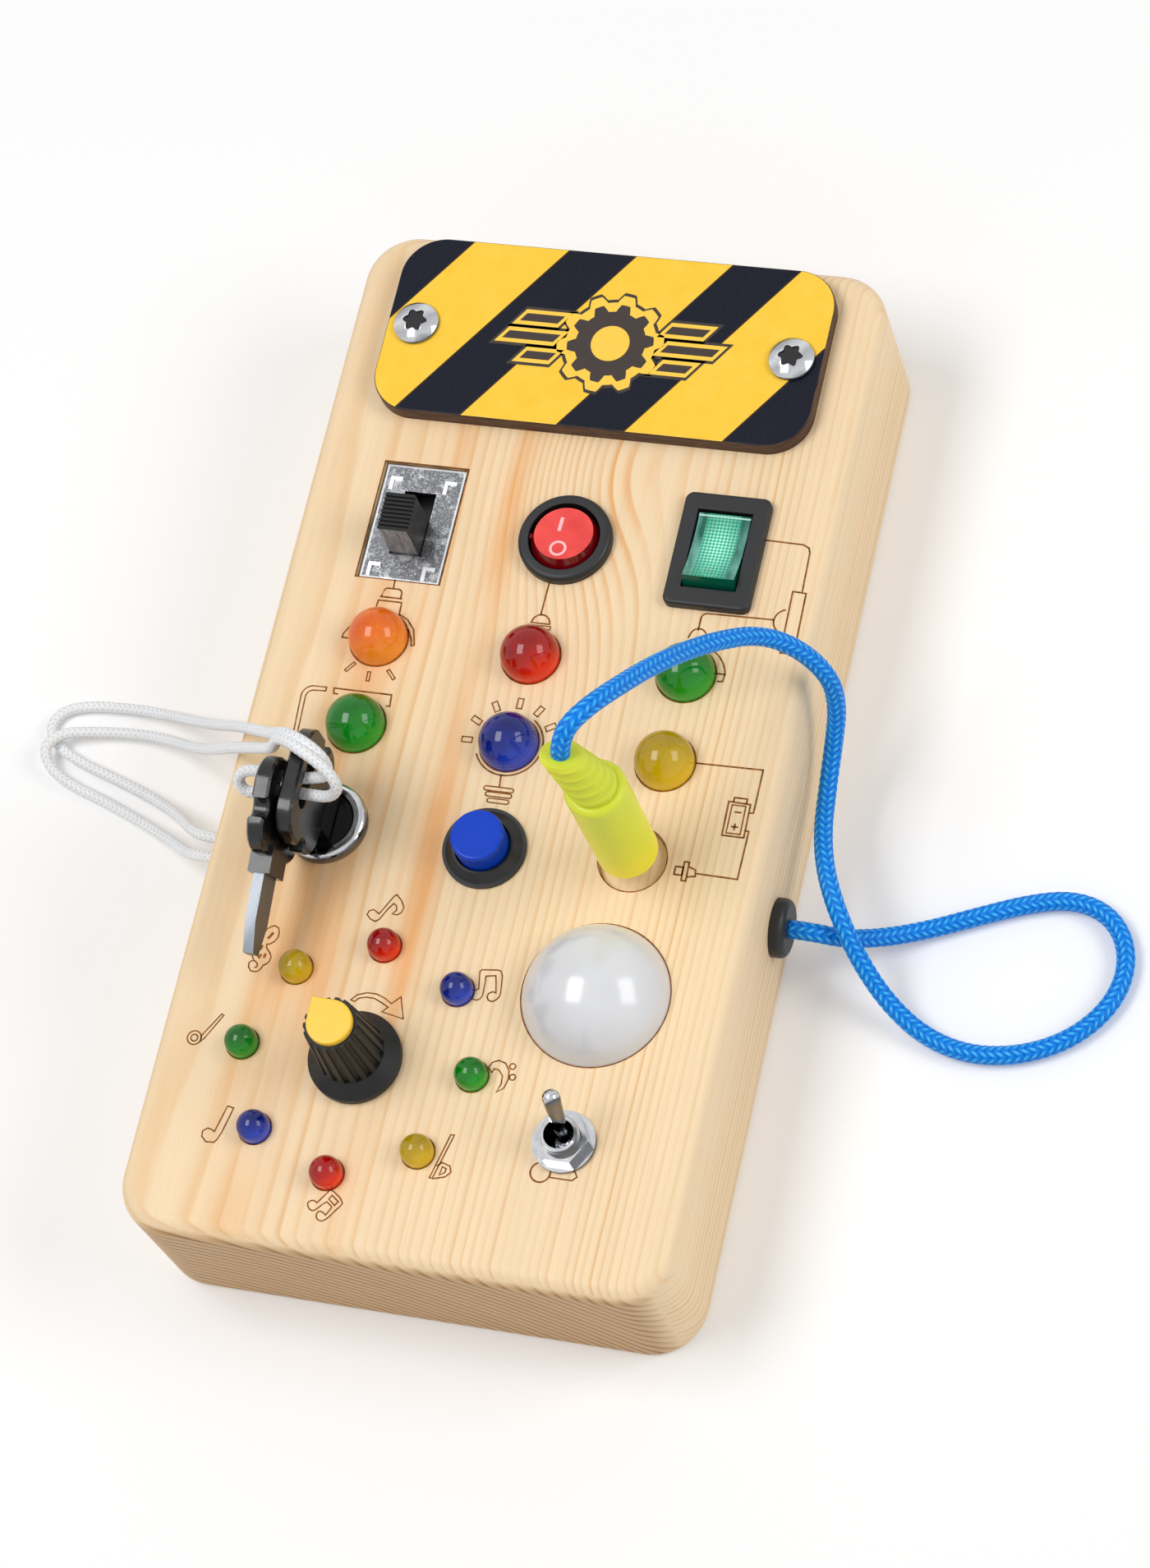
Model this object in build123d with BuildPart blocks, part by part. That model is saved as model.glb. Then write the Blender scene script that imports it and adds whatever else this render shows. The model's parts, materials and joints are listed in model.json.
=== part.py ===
"""Wooden busy board: a pine block with switches, lamps, a lock, a jack plug and a night light.

Millimetres, +Z up, +Y towards the sign. The origin is the centre of the underside.
Every part is carried by the pine block: its pockets are milled from the back, each up to
its own ceiling, and a recessed plywood cover closes them.
"""
import os
from math import cos, pi, radians, sin, tan

from build123d import *

os.makedirs("parts", exist_ok=True)

# ---------------------------------------------------------------- board
board_width = 94.0
board_length = 185.5
board_height = 29.0
board_corner = 9.0
board_top_round = 3.0
board_bottom_round = 1.0

fit_gap = 0.1          # radial room of a fixed part in its hole
running_gap = 0.05     # radial room of a turning or sliding shaft
pocket_gap = 0.4       # room round a part that drops into a pocket

# ---------------------------------------------------------------- back cover
cover_thickness = 3.0
cover_margin = 7.0
cover_corner = 5.0
cover_gap = 0.25
cover_screw_inset = 3.7
cover_screw_middle = 5.5
screw_head = 5.6
screw_shank = 3.0
screw_length = 11.0
screw_tip = 1.6

# ---------------------------------------------------------------- battery compartment
battery_centre_y = 64.0
cell_diameter = 14.2
cell_length = 49.2
cell_button = 1.0
battery_wall = 1.2
cell_room = 0.3
contact_thickness = 0.4
door_thickness = cover_thickness
door_ledge = 6.0
door_screw_inset = 3.3
door_screw_length = 8.0

# ---------------------------------------------------------------- sign
sign_width = 78.0
sign_depth = 34.0
sign_centre_y = 73.5
sign_thickness = 3.0
sign_corner = 7.5
sign_edge = 0.4
sign_screw_span = 67.2
sign_screw_y = 73.2
sign_screw_head = 8.0
sign_screw_head_edge = 0.6
sign_screw_head_rise = 2.0
sign_screw_shank = 3.6
sign_screw_length = 9.0

# ---------------------------------------------------------------- slide switch
slide_window_width = 15.0
slide_window_length = 22.0
slide_window_centre = (-26.3, 36.95)
slide_shell_width = 14.2
slide_shell_length = 21.6
slide_shell_height = 6.5
slide_shell_recess = 0.6
slide_sheet = 0.5
slide_slot_width = 5.7
slide_slot_length = 12.0
slide_slot_centre = (-26.4, 37.0)
slide_grip_width = 5.4
slide_grip_length = 7.0
slide_grip_height = 9.0
slide_end_gap = 0.2
slide_foot_width = 8.0
slide_foot_length = 9.0
slide_foot_height = 1.6
slide_groove_count = 8
slide_groove_depth = 0.45
slide_base_height = 1.6
slide_pin_length = 4.0

# ---------------------------------------------------------------- round rocker
round_centre = (1.4, 36.5)
round_bezel = 16.2
round_bezel_height = 2.0
round_barrel = 14.8
round_barrel_depth = 12.0
round_opening = 12.5
round_lens = 12.0
round_lens_top = 10.2
round_lens_rise = 2.4
round_lens_drop = 2.0
round_pivot_height = 0.2
round_tilt = 6.0

# ---------------------------------------------------------------- green rocker
green_centre = (28.0, 37.1)
green_bezel_width = 15.0
green_bezel_length = 21.0
green_bezel_height = 1.8
green_bezel_corner = 1.5
green_body_width = 12.8
green_body_length = 18.8
green_body_depth = 12.0
green_lens_width = 9.0
green_lens_radius = 7.0
green_lens_rise = 3.0
green_lens_dip = 1.1
green_lens_drop = 2.6
green_opening_gap = 0.3
green_pivot_height = -0.3
green_tilt = 9.0

# ---------------------------------------------------------------- lamps
lamp_columns = (-26.8, 0.2, 27.2)
lamp_rows = (14.8, -1.3)
lamp_diameter = 10.0
lamp_flange = 11.4
lamp_flange_height = 1.2
lamp_stem = 6.0        # cylinder between flange and dome
lamp_show = 1.0        # cylinder that shows above the face
lamp_leg = 0.5
lamp_leg_length = 4.0

# ---------------------------------------------------------------- ring of small lamps
ring_centre = (-12.15, -59.35)
ring_radius = 19.8
small_lamp_diameter = 5.4
small_lamp_flange = 6.2
small_lamp_flange_height = 1.0
small_lamp_stem = 5.1
small_lamp_show = 1.3
small_lamp_leg = 0.5
small_leg_spacing = 2.54
ring_board_margin = 4.4
ring_board_thickness = 1.6

# ---------------------------------------------------------------- rotary switch and knob
rotary_body = 22.0
rotary_body_height = 11.0
rotary_neck = 9.0
rotary_shaft_diameter = 6.0
rotary_shaft_floor = 2.0
knob_gap = 0.4
knob_skirt = 15.6
knob_rim = 1.2
knob_shoulder = 11.3
knob_shoulder_height = 3.5
knob_top = 9.1
knob_height = 15.8
knob_flutes = 18
knob_flute_radius = 0.55
knob_bore_depth = 12.0
knob_cap_diameter = 7.6
knob_cap_tip = 5.5
knob_cap_thickness = 1.2
knob_pointer_angle = 135.0

# ---------------------------------------------------------------- push button
button_centre = (0.5, -20.4)
button_bezel = 14.2
button_bezel_height = 2.0
button_bezel_step = 0.6
button_barrel = 12.0
button_barrel_depth = 18.0
button_panel = 6.0
button_nut_flats = 14.0
nut_thickness = 2.0
button_cap_diameter = 9.0
button_cap_show = 4.2
button_cap_length = 9.0
button_cap_gap = 0.3
button_travel = 2.5
button_cap_round = 0.5

# ---------------------------------------------------------------- jack plug and its socket
plug_centre = (25.5, -18.8)
plug_recess = 11.4
plug_recess_depth = 4.0
plug_panel = 2.0
plug_hover = 3.6       # gap between the face and the plug's sleeve
plug_sleeve = 10.2
plug_sleeve_length = 26.0
plug_sleeve_round = 1.2
plug_pin_diameter = 3.5
plug_pin_length = 14.0
plug_pin_root = 4.0
tail_base = 7.6
tail_tip = 6.4
tail_length = 10.8
tail_lean = 18.0       # lean of the tail's middle line, and its heading from +X
tail_heading = 172.0
tail_mouth_normal = (0.15, 0.35, 0.925)
tail_ribs = 5
tail_rib_proud = 0.35
tail_rib_share = 0.055     # half a rib's width, as a share of the tail's length
socket_width = 8.0
socket_length = 12.0
socket_height = 9.0
socket_neck = 6.0

# ---------------------------------------------------------------- night light dome
dome_centre = (24.7, -42.9)
dome_diameter = 24.6
dome_height = 9.5
dome_spigot = 20.4
dome_spigot_depth = 4.0
dome_cavity = 13.0
dome_cavity_height = 5.0
dome_board_thickness = 1.6
dome_chip = 5.0

# ---------------------------------------------------------------- toggle switch
toggle_centre = (25.3, -68.2)
toggle_panel = 4.0
toggle_body_width = 8.0
toggle_body_length = 13.0
toggle_body_height = 9.0
toggle_bushing = 6.0
toggle_bushing_show = 4.5
toggle_washer = 10.45
toggle_washer_thickness = 0.8
toggle_nut_flats = 8.0
toggle_nut_thickness = 2.0
toggle_ball = 3.8
toggle_pivot_height = -0.5
toggle_bore_top = 5.0
toggle_lever_length = 15.0
toggle_lever_root = 2.0
toggle_lever_tip = 3.0
toggle_tail_length = 4.0
toggle_lean = 12.7

# ---------------------------------------------------------------- key lock and keys
lock_centre = (-27.5, -19.5)
lock_ring = 14.4
lock_ring_opening = 10.4
lock_ring_height = 2.0
lock_barrel = 12.6
lock_barrel_depth = 18.0
lock_panel = 6.0
lock_nut_flats = 15.0
lock_floor = 2.0
rotor_recess = 0.3     # rotor face below the ring's top
keyway_width = 2.2
keyway_depth = 14.2
key_gap = 0.3          # key shoulder above the rotor
key_head_width = 19.0
key_head_height = 16.0
key_head_round = 5.0
key_head_thickness = 2.8
key_neck_width = 7.0
key_neck_height = 3.0
key_eye_width = 9.0
key_eye_height = 3.6
key_eye_edge = 2.2
blade_thickness = 1.8
blade_root = 6.0
blade_tip = 2.6
blade_length = 13.0
blade_taper = 5.0
spare_offset = 3.5     # spare key beside the inserted one
spare_root = (-34.5, 12.0)     # its shoulder, along Y and above the face
spare_dip = 11.8       # degrees that its blade points down

# ---------------------------------------------------------------- cord outlets and cords
outlet_flange = 10.0
outlet_flange_height = 2.5
outlet_shank = 7.0
outlet_shank_length = 8.0
outlet_round = 1.2
right_outlet = (-21.0, 12.0)   # along Y and Z
left_outlet = (-20.0, 12.0)
blue_diameter = 3.2
white_diameter = 2.0
white_spacing = 3.6

# Small details
screw_recess = 0.1                # countersunk heads below the underside
slide_pin = (1.2, 0.5)
slide_grip_edge = 0.4
slide_groove_share = 0.45         # groove, as a share of its pitch
slide_stop_spacing = (9.8, 16.4)
slide_stop_length = 2.2
slide_stop_width = 0.7
slide_stop_rise = 0.25
terminal_thickness = 0.8
terminal_width = 4.8
terminal_length = 6.0
round_bezel_round = 0.9
round_under_gap = 0.6
round_pin = 1.4
round_pin_reach = 0.6
round_pin_hole = 0.8
round_lens_taper = 0.5
round_lens_edge = 0.6
round_terminal_spacing = 6.0
green_bezel_round = 0.6
green_under_gap = 0.4
green_pin = 1.6
green_pin_reach = 0.7
green_pin_hole = 0.9
green_terminal_spacing = 7.0
small_leg_proud = 1.5
ring_board_hole = 0.9
rotary_neck_recess = 0.2
rotary_pin_circle = 16.72
rotary_pin_count = 9
rotary_pin = (0.5, 1.4)
rotary_pin_length = 3.0
knob_cap_round = 0.3
button_rim_height = 0.7
button_bezel_taper = 45.0         # degrees from upright
button_leg_spacing = 5.0
button_leg = (0.5, 2.4)
button_leg_length = 4.0
plug_foot_chamfer = 0.4
plug_pin_gap = 0.5
plug_pin_cone = 3.2               # height of the tip's cone
plug_pin_neck = (0.62, 2.6)       # share of the pin's radius, height above its tip
plug_pin_bulb = (0.94, 1.6)
plug_pin_point = 0.3
tail_first_rib = 0.6
dome_chip_height = 1.2
toggle_tail_gap = 0.5
toggle_tail_radius = 0.8
toggle_bore_step = 1.5
toggle_neck_height = 2.0
toggle_leg_spacing = 4.7
toggle_leg = (1.2, 0.6)
toggle_leg_length = 4.0
lock_ring_round = 1.2
rotor_chamfer = 0.3
key_head_chamfer = 0.4
key_waist_height = 6.6            # notches, above the neck
key_waist_notch = 1.6
key_collar_height = 4.6
key_collar_thickness = 3.8
bend_share = 0.45                 # of the shorter run, taken by each bend of a cord

# ---------------------------------------------------------------- worked-out values
cover_width = board_width - 2 * cover_margin
cover_length = board_length - 2 * cover_margin

cell_span = 2 * (cell_diameter + cell_room)
battery_box_width = cell_length + cell_button + 2 * (contact_thickness + battery_wall + cell_room)
battery_box_depth = cell_span + 2 * battery_wall
battery_box_height = cell_diameter + cell_room + battery_wall
battery_box_floor = cover_thickness + cell_room
battery_ceiling = battery_box_floor + battery_box_height
battery_pocket_width = battery_box_width + 2 * pocket_gap
battery_pocket_depth = battery_box_depth + 2 * pocket_gap
door_width = battery_pocket_width + 2 * door_ledge
door_depth = battery_pocket_depth + 2 * pocket_gap

slide_top = board_height - slide_shell_recess
slide_floor = slide_top - slide_shell_height
slide_travel = slide_slot_length - slide_grip_length - 2 * slide_end_gap
slide_grip_centre = (
    slide_slot_centre[0],
    slide_slot_centre[1] - slide_travel / 2,
)

round_pivot = board_height + round_pivot_height
round_floor = board_height - round_barrel_depth
green_pivot = board_height + green_pivot_height
green_floor = board_height - green_body_depth
green_opening_width = green_lens_width + 2 * green_opening_gap
green_opening_length = 2 * (green_lens_radius + green_opening_gap)

lamp_centre_height = board_height + lamp_show
lamp_seat = lamp_centre_height - lamp_stem
small_lamp_centre_height = board_height + small_lamp_show
small_lamp_seat = small_lamp_centre_height - small_lamp_stem
ring_board_top = small_lamp_seat - small_lamp_flange_height
ring_board_bottom = ring_board_top - ring_board_thickness
ring_board_radius = ring_radius + ring_board_margin
rotary_bottom = ring_board_bottom - rotary_body_height
knob_base = board_height + knob_gap
knob_crown = knob_base + knob_height

button_floor = board_height - button_barrel_depth
button_ceiling = board_height - button_panel
button_top = board_height + button_bezel_height

plug_floor = board_height - plug_recess_depth
socket_ceiling = plug_floor - plug_panel
socket_floor = socket_ceiling - socket_height
sleeve_bottom = board_height + plug_hover
sleeve_top = sleeve_bottom + plug_sleeve_length

toggle_ceiling = board_height - toggle_panel
toggle_pivot = board_height + toggle_pivot_height
lock_floor_height = board_height - lock_barrel_depth
lock_ceiling = board_height - lock_panel
rotor_radius = lock_ring_opening / 2 - running_gap
rotor_top = board_height + lock_ring_height - rotor_recess
key_shoulder = board_height + lock_ring_height + key_gap


def hex_radius(flats):
    """Corner radius of a hexagon from its size across flats."""
    return flats / 2 / cos(radians(30))


def cap_points(x, foot, radius, rise):
    """Start, middle and end of a spherical cap's outline, from its rim up to its axis at x."""
    sphere = (radius**2 + rise**2) / (2 * rise)
    middle = 0.7 * radius
    drop = sphere - (sphere**2 - middle**2) ** 0.5
    return (x + radius, foot), (x + middle, foot + rise - drop), (x, foot + rise)


def rectangle_corners(width, length, centre=(0, 0)):
    """The four corners of a rectangle, for screws set out on it."""
    return [
        (centre[0] + i * width / 2, centre[1] + j * length / 2)
        for i in (-1, 1)
        for j in (-1, 1)
    ]


cover_screws = rectangle_corners(
    cover_width - 2 * cover_screw_inset, cover_length - 2 * cover_screw_inset
) + [(i * (cover_width / 2 - cover_screw_inset), cover_screw_middle) for i in (-1, 1)]
door_screws = [(i * (door_width / 2 - door_screw_inset), battery_centre_y) for i in (-1, 1)]
sign_screws_at = [(i * sign_screw_span / 2, sign_screw_y) for i in (-1, 1)]
lamp_places = [(x, y) for y in lamp_rows for x in lamp_columns]


# ================================================================ pine block
with BuildPart() as wood_body:
    with BuildSketch():
        RectangleRounded(board_width, board_length, board_corner)
    extrude(amount=board_height)
    fillet(wood_body.faces().sort_by(Axis.Z)[-1].edges(), board_top_round)
    fillet(wood_body.faces().sort_by(Axis.Z)[0].edges(), board_bottom_round)

    # Rebate for the back cover
    with BuildSketch():
        RectangleRounded(cover_width, cover_length, cover_corner)
    extrude(amount=cover_thickness, mode=Mode.SUBTRACT)

    # Battery pocket
    with BuildSketch(Plane.XY.offset(cover_thickness)):
        with Locations((0, battery_centre_y)):
            Rectangle(battery_pocket_width, battery_pocket_depth)
    extrude(amount=battery_ceiling - cover_thickness, mode=Mode.SUBTRACT)

    # Slide switch: a window from the face, and room for its pins from the back
    with BuildSketch(Plane.XY.offset(slide_floor)):
        with Locations(slide_window_centre):
            Rectangle(slide_window_width, slide_window_length)
    extrude(amount=board_height - slide_floor, mode=Mode.SUBTRACT)
    with BuildSketch(Plane.XY.offset(cover_thickness)):
        with Locations(slide_window_centre):
            Rectangle(slide_window_width - 5, slide_window_length - 5)
    extrude(amount=slide_floor - cover_thickness, mode=Mode.SUBTRACT)

    # Round and rectangular rocker cut-outs
    with BuildSketch(Plane.XY.offset(cover_thickness)):
        with Locations(round_centre):
            Circle(round_barrel / 2 + fit_gap)
        with Locations(green_centre):
            Rectangle(green_body_width + 2 * fit_gap, green_body_length + 2 * fit_gap)
    extrude(amount=board_height - cover_thickness, mode=Mode.SUBTRACT)

    # Lamps: a pocket up to the flange's seat, and a hole for the dome
    with BuildSketch(Plane.XY.offset(cover_thickness)):
        with Locations(*lamp_places):
            Circle(lamp_flange / 2 + fit_gap)
    extrude(amount=lamp_seat - cover_thickness, mode=Mode.SUBTRACT)
    with BuildSketch(Plane.XY.offset(lamp_seat)):
        with Locations(*lamp_places):
            Circle(lamp_diameter / 2 + fit_gap)
    extrude(amount=board_height - lamp_seat, mode=Mode.SUBTRACT)

    # Ring of small lamps with its circuit board, and the rotary switch in the middle
    with BuildSketch(Plane.XY.offset(cover_thickness)):
        with Locations(ring_centre):
            Circle(ring_board_radius + pocket_gap)
    extrude(amount=small_lamp_seat - cover_thickness, mode=Mode.SUBTRACT)
    with BuildSketch(Plane.XY.offset(small_lamp_seat)):
        with Locations(ring_centre):
            Circle(rotary_neck / 2 + fit_gap)
            with PolarLocations(ring_radius, 8):
                Circle(small_lamp_diameter / 2 + fit_gap)
    extrude(amount=board_height - small_lamp_seat, mode=Mode.SUBTRACT)

    # Push button and lock: a barrel hole, and a nut pocket behind it
    with BuildSketch(Plane.XY.offset(cover_thickness)):
        with Locations(button_centre):
            Circle(hex_radius(button_nut_flats) + pocket_gap)
    extrude(amount=button_ceiling - cover_thickness, mode=Mode.SUBTRACT)
    with BuildSketch(Plane.XY.offset(cover_thickness)):
        with Locations(lock_centre):
            Circle(hex_radius(lock_nut_flats) + pocket_gap)
    extrude(amount=lock_ceiling - cover_thickness, mode=Mode.SUBTRACT)
    with BuildSketch(Plane.XY.offset(cover_thickness)):
        with Locations(button_centre):
            Circle(button_barrel / 2 + fit_gap)
        with Locations(lock_centre):
            Circle(lock_barrel / 2 + fit_gap)
    extrude(amount=board_height - cover_thickness, mode=Mode.SUBTRACT)

    # Jack: a shallow recess in the face, a neck hole, and a pocket behind
    with BuildSketch(Plane.XY.offset(plug_floor)):
        with Locations(plug_centre):
            Circle(plug_recess / 2)
    extrude(amount=plug_recess_depth, mode=Mode.SUBTRACT)
    with BuildSketch(Plane.XY.offset(cover_thickness)):
        with Locations(plug_centre):
            Circle(socket_neck / 2 + fit_gap)
    extrude(amount=plug_floor - cover_thickness, mode=Mode.SUBTRACT)
    with BuildSketch(Plane.XY.offset(cover_thickness)):
        with Locations(plug_centre):
            Rectangle(socket_width + 2 * pocket_gap, socket_length + 2 * pocket_gap)
    extrude(amount=socket_ceiling - cover_thickness, mode=Mode.SUBTRACT)

    # Night light: a hole for the dome's spigot
    with BuildSketch(Plane.XY.offset(cover_thickness)):
        with Locations(dome_centre):
            Circle(dome_spigot / 2 + fit_gap)
    extrude(amount=board_height - cover_thickness, mode=Mode.SUBTRACT)

    # Toggle: a bushing hole, and a pocket behind it
    with BuildSketch(Plane.XY.offset(cover_thickness)):
        with Locations(toggle_centre):
            Circle(toggle_bushing / 2 + fit_gap)
    extrude(amount=board_height - cover_thickness, mode=Mode.SUBTRACT)
    with BuildSketch(Plane.XY.offset(cover_thickness)):
        with Locations(toggle_centre):
            Rectangle(
                toggle_body_width + 2 * pocket_gap, toggle_body_length + 2 * pocket_gap
            )
    extrude(amount=toggle_ceiling - cover_thickness, mode=Mode.SUBTRACT)

    # Cord outlets in the two long sides
    for side, outlet in ((1, right_outlet), (-1, left_outlet)):
        wall = Plane(
            origin=(side * board_width / 2, outlet[0], outlet[1]), z_dir=(-side, 0, 0)
        )
        with BuildSketch(wall):
            Circle(outlet_shank / 2 + running_gap)
        extrude(amount=outlet_shank_length, mode=Mode.SUBTRACT)

    # Screw holes
    with BuildSketch(Plane.XY.offset(cover_thickness)):
        with Locations(*cover_screws):
            Circle(screw_shank / 2 + running_gap)
    extrude(amount=screw_length + screw_tip - cover_thickness + pocket_gap, mode=Mode.SUBTRACT)
    with BuildSketch(Plane.XY.offset(cover_thickness)):
        with Locations(*door_screws):
            Circle(screw_shank / 2 + running_gap)
    extrude(
        amount=door_screw_length + screw_tip - cover_thickness + pocket_gap, mode=Mode.SUBTRACT
    )
    with BuildSketch(Plane.XY.offset(board_height)):
        with Locations(*sign_screws_at):
            Circle(sign_screw_shank / 2 + running_gap)
    extrude(amount=-(sign_screw_length - sign_thickness + pocket_gap), mode=Mode.SUBTRACT)


# ================================================================ back cover and its screws
with BuildPart() as back_cover:
    with BuildSketch():
        RectangleRounded(
            cover_width - 2 * cover_gap, cover_length - 2 * cover_gap, cover_corner - cover_gap
        )
        with Locations((0, battery_centre_y)):
            Rectangle(door_width, door_depth, mode=Mode.SUBTRACT)
    extrude(amount=cover_thickness)
    with Locations(*[Location((x, y, 0), (180, 0, 0)) for x, y in cover_screws]):
        CounterSinkHole(screw_shank / 2 + fit_gap, screw_head / 2 + fit_gap, cover_thickness)

with BuildPart() as battery_door:
    with BuildSketch():
        with Locations((0, battery_centre_y)):
            Rectangle(door_width - 2 * cover_gap, door_depth - 2 * cover_gap)
    extrude(amount=door_thickness)
    with Locations(*[Location((x, y, 0), (180, 0, 0)) for x, y in door_screws]):
        CounterSinkHole(screw_shank / 2 + fit_gap, screw_head / 2 + fit_gap, door_thickness)


def countersunk_screws(places, length):
    """Countersunk wood screws, heads down, flush with the underside."""
    cone = (screw_head - screw_shank) / 2
    with BuildPart() as screws:
        with BuildSketch(Plane.XZ):
            with BuildLine():
                Polyline(
                    (0, screw_recess),
                    (screw_head / 2, screw_recess),
                    (screw_shank / 2, screw_recess + cone),
                    (screw_shank / 2, length),
                    (0, length + screw_tip),
                    close=True,
                )
            make_face()
        revolve(axis=Axis.Z)
    with BuildPart() as group:
        with Locations(*[(x, y, 0) for x, y in places]):
            add(screws.part)
    return group


back_cover_screws = countersunk_screws(cover_screws, screw_length)
battery_door_screws = countersunk_screws(door_screws, door_screw_length)


# ================================================================ batteries and their box
with BuildPart() as battery_box:
    with BuildSketch(Plane.XY.offset(battery_box_floor)):
        with Locations((0, battery_centre_y)):
            Rectangle(battery_box_width, battery_box_depth)
    extrude(amount=battery_box_height)
    with BuildSketch(Plane.XY.offset(battery_box_floor)):
        with Locations((0, battery_centre_y)):
            Rectangle(battery_box_width - 2 * battery_wall, cell_span)
    extrude(amount=battery_box_height - battery_wall, mode=Mode.SUBTRACT)

cell_axis_height = battery_ceiling - battery_wall - cell_diameter / 2 - running_gap
cell_row_offset = (cell_diameter + cell_room) / 2
contact_width = 0.6 * cell_diameter
with BuildPart() as battery_cells:
    for row in (-1, 1):
        end = Plane(
            origin=(
                row * (cell_length + cell_button) / 2,
                battery_centre_y + row * cell_row_offset,
                cell_axis_height,
            ),
            z_dir=(-row, 0, 0),
        )
        with BuildSketch(end):
            Circle(cell_diameter / 2)
        extrude(amount=cell_length)
        with BuildSketch(end.offset(cell_length)):
            Circle(cell_diameter / 5)
        extrude(amount=cell_button)

with BuildPart() as battery_contacts:
    for side in (-1, 1):
        inner_wall = Plane(
            origin=(side * (battery_box_width / 2 - battery_wall), battery_centre_y, cell_axis_height),
            z_dir=(-side, 0, 0),
        )
        with BuildSketch(inner_wall):
            with Locations((0, cell_row_offset), (0, -cell_row_offset)):
                Rectangle(contact_width, contact_width)
        extrude(amount=contact_thickness)


# ================================================================ sign plate
with BuildPart() as sign_plate:
    with BuildSketch(Plane.XY.offset(board_height)):
        with Locations((0, sign_centre_y)):
            RectangleRounded(sign_width, sign_depth, sign_corner)
        with Locations(*sign_screws_at):
            Circle(sign_screw_shank / 2 + fit_gap, mode=Mode.SUBTRACT)
    extrude(amount=sign_thickness)
    rim = sign_plate.faces().sort_by(Axis.Z)[-1].outer_wire().edges()
    fillet(rim, sign_edge)

with BuildPart() as sign_screw:
    with BuildSketch(Plane.XZ):
        with BuildLine():
            sign_top = board_height + sign_thickness
            head_edge = sign_top + sign_screw_head_edge
            shank_foot = sign_top - sign_screw_length
            Polyline(
                (0, head_edge + sign_screw_head_rise),
                (0, shank_foot),
                (sign_screw_shank / 2, shank_foot),
                (sign_screw_shank / 2, sign_top),
                (sign_screw_head / 2, sign_top),
                (sign_screw_head / 2, head_edge),
            )
            ThreePointArc(*cap_points(0, head_edge, sign_screw_head / 2, sign_screw_head_rise))
        make_face()
    revolve(axis=Axis.Z)

with BuildPart() as sign_screws:
    with Locations(*[(x, y, 0) for x, y in sign_screws_at]):
        add(sign_screw.part)


# ================================================================ slide switch
with BuildPart() as slide_switch_plate:
    with BuildSketch(Plane.XY.offset(slide_floor)):
        with Locations(slide_window_centre):
            Rectangle(slide_shell_width, slide_shell_length)
    extrude(amount=slide_shell_height)
    with BuildSketch(Plane.XY.offset(slide_floor)):
        with Locations(slide_window_centre):
            Rectangle(slide_shell_width - 2 * slide_sheet, slide_shell_length - 2 * slide_sheet)
    extrude(amount=slide_shell_height - slide_sheet, mode=Mode.SUBTRACT)
    with BuildSketch(Plane.XY.offset(slide_floor)):
        with Locations(slide_slot_centre):
            Rectangle(slide_slot_width, slide_slot_length)
    extrude(amount=slide_shell_height, mode=Mode.SUBTRACT)
    # Punched stop at each corner: a short bar with a leg down its left end
    with BuildSketch(Plane.XY.offset(slide_top)):
        with Locations(slide_window_centre):
            with GridLocations(*slide_stop_spacing, 2, 2):
                Rectangle(slide_stop_length, slide_stop_width)
                with Locations(((slide_stop_width - slide_stop_length) / 2, -slide_stop_length / 2)):
                    Rectangle(slide_stop_width, slide_stop_length)
    extrude(amount=slide_stop_rise)

with BuildPart() as slide_switch_base:
    inner_width = slide_shell_width - 2 * slide_sheet - 2 * fit_gap
    inner_length = slide_shell_length - 2 * slide_sheet - 2 * fit_gap
    with BuildSketch(Plane.XY.offset(slide_floor)):
        with Locations(slide_window_centre):
            Rectangle(inner_width, inner_length)
    extrude(amount=slide_base_height)
    with BuildSketch(Plane.XY.offset(slide_floor)):
        with Locations(slide_window_centre):
            with GridLocations(inner_width * 0.4, inner_length * 0.22, 2, 3):
                Rectangle(*slide_pin)
    extrude(amount=-slide_pin_length)

with BuildPart() as slide_knob:
    grip_foot = slide_top - slide_sheet - slide_end_gap
    with BuildSketch(Plane.XY.offset(grip_foot)):
        with Locations(slide_grip_centre):
            Rectangle(slide_grip_width, slide_grip_length)
    extrude(amount=slide_grip_height + slide_sheet + slide_end_gap)
    fillet(slide_knob.edges().filter_by(Axis.Z), slide_grip_edge)
    with BuildSketch(Plane.XY.offset(grip_foot - slide_foot_height)):
        with Locations(slide_grip_centre):
            Rectangle(slide_foot_width, slide_foot_length)
    extrude(amount=slide_foot_height)
    groove_pitch = slide_grip_length / (slide_groove_count + 1)
    grip_crown = slide_top + slide_grip_height
    with BuildSketch(Plane.YZ.offset(slide_grip_centre[0] - slide_grip_width)):
        with Locations((slide_grip_centre[1], grip_crown)):
            with GridLocations(groove_pitch, 1, slide_groove_count, 1):
                Rectangle(groove_pitch * slide_groove_share, 2 * slide_groove_depth)
    extrude(amount=2 * slide_grip_width, mode=Mode.SUBTRACT)


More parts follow.
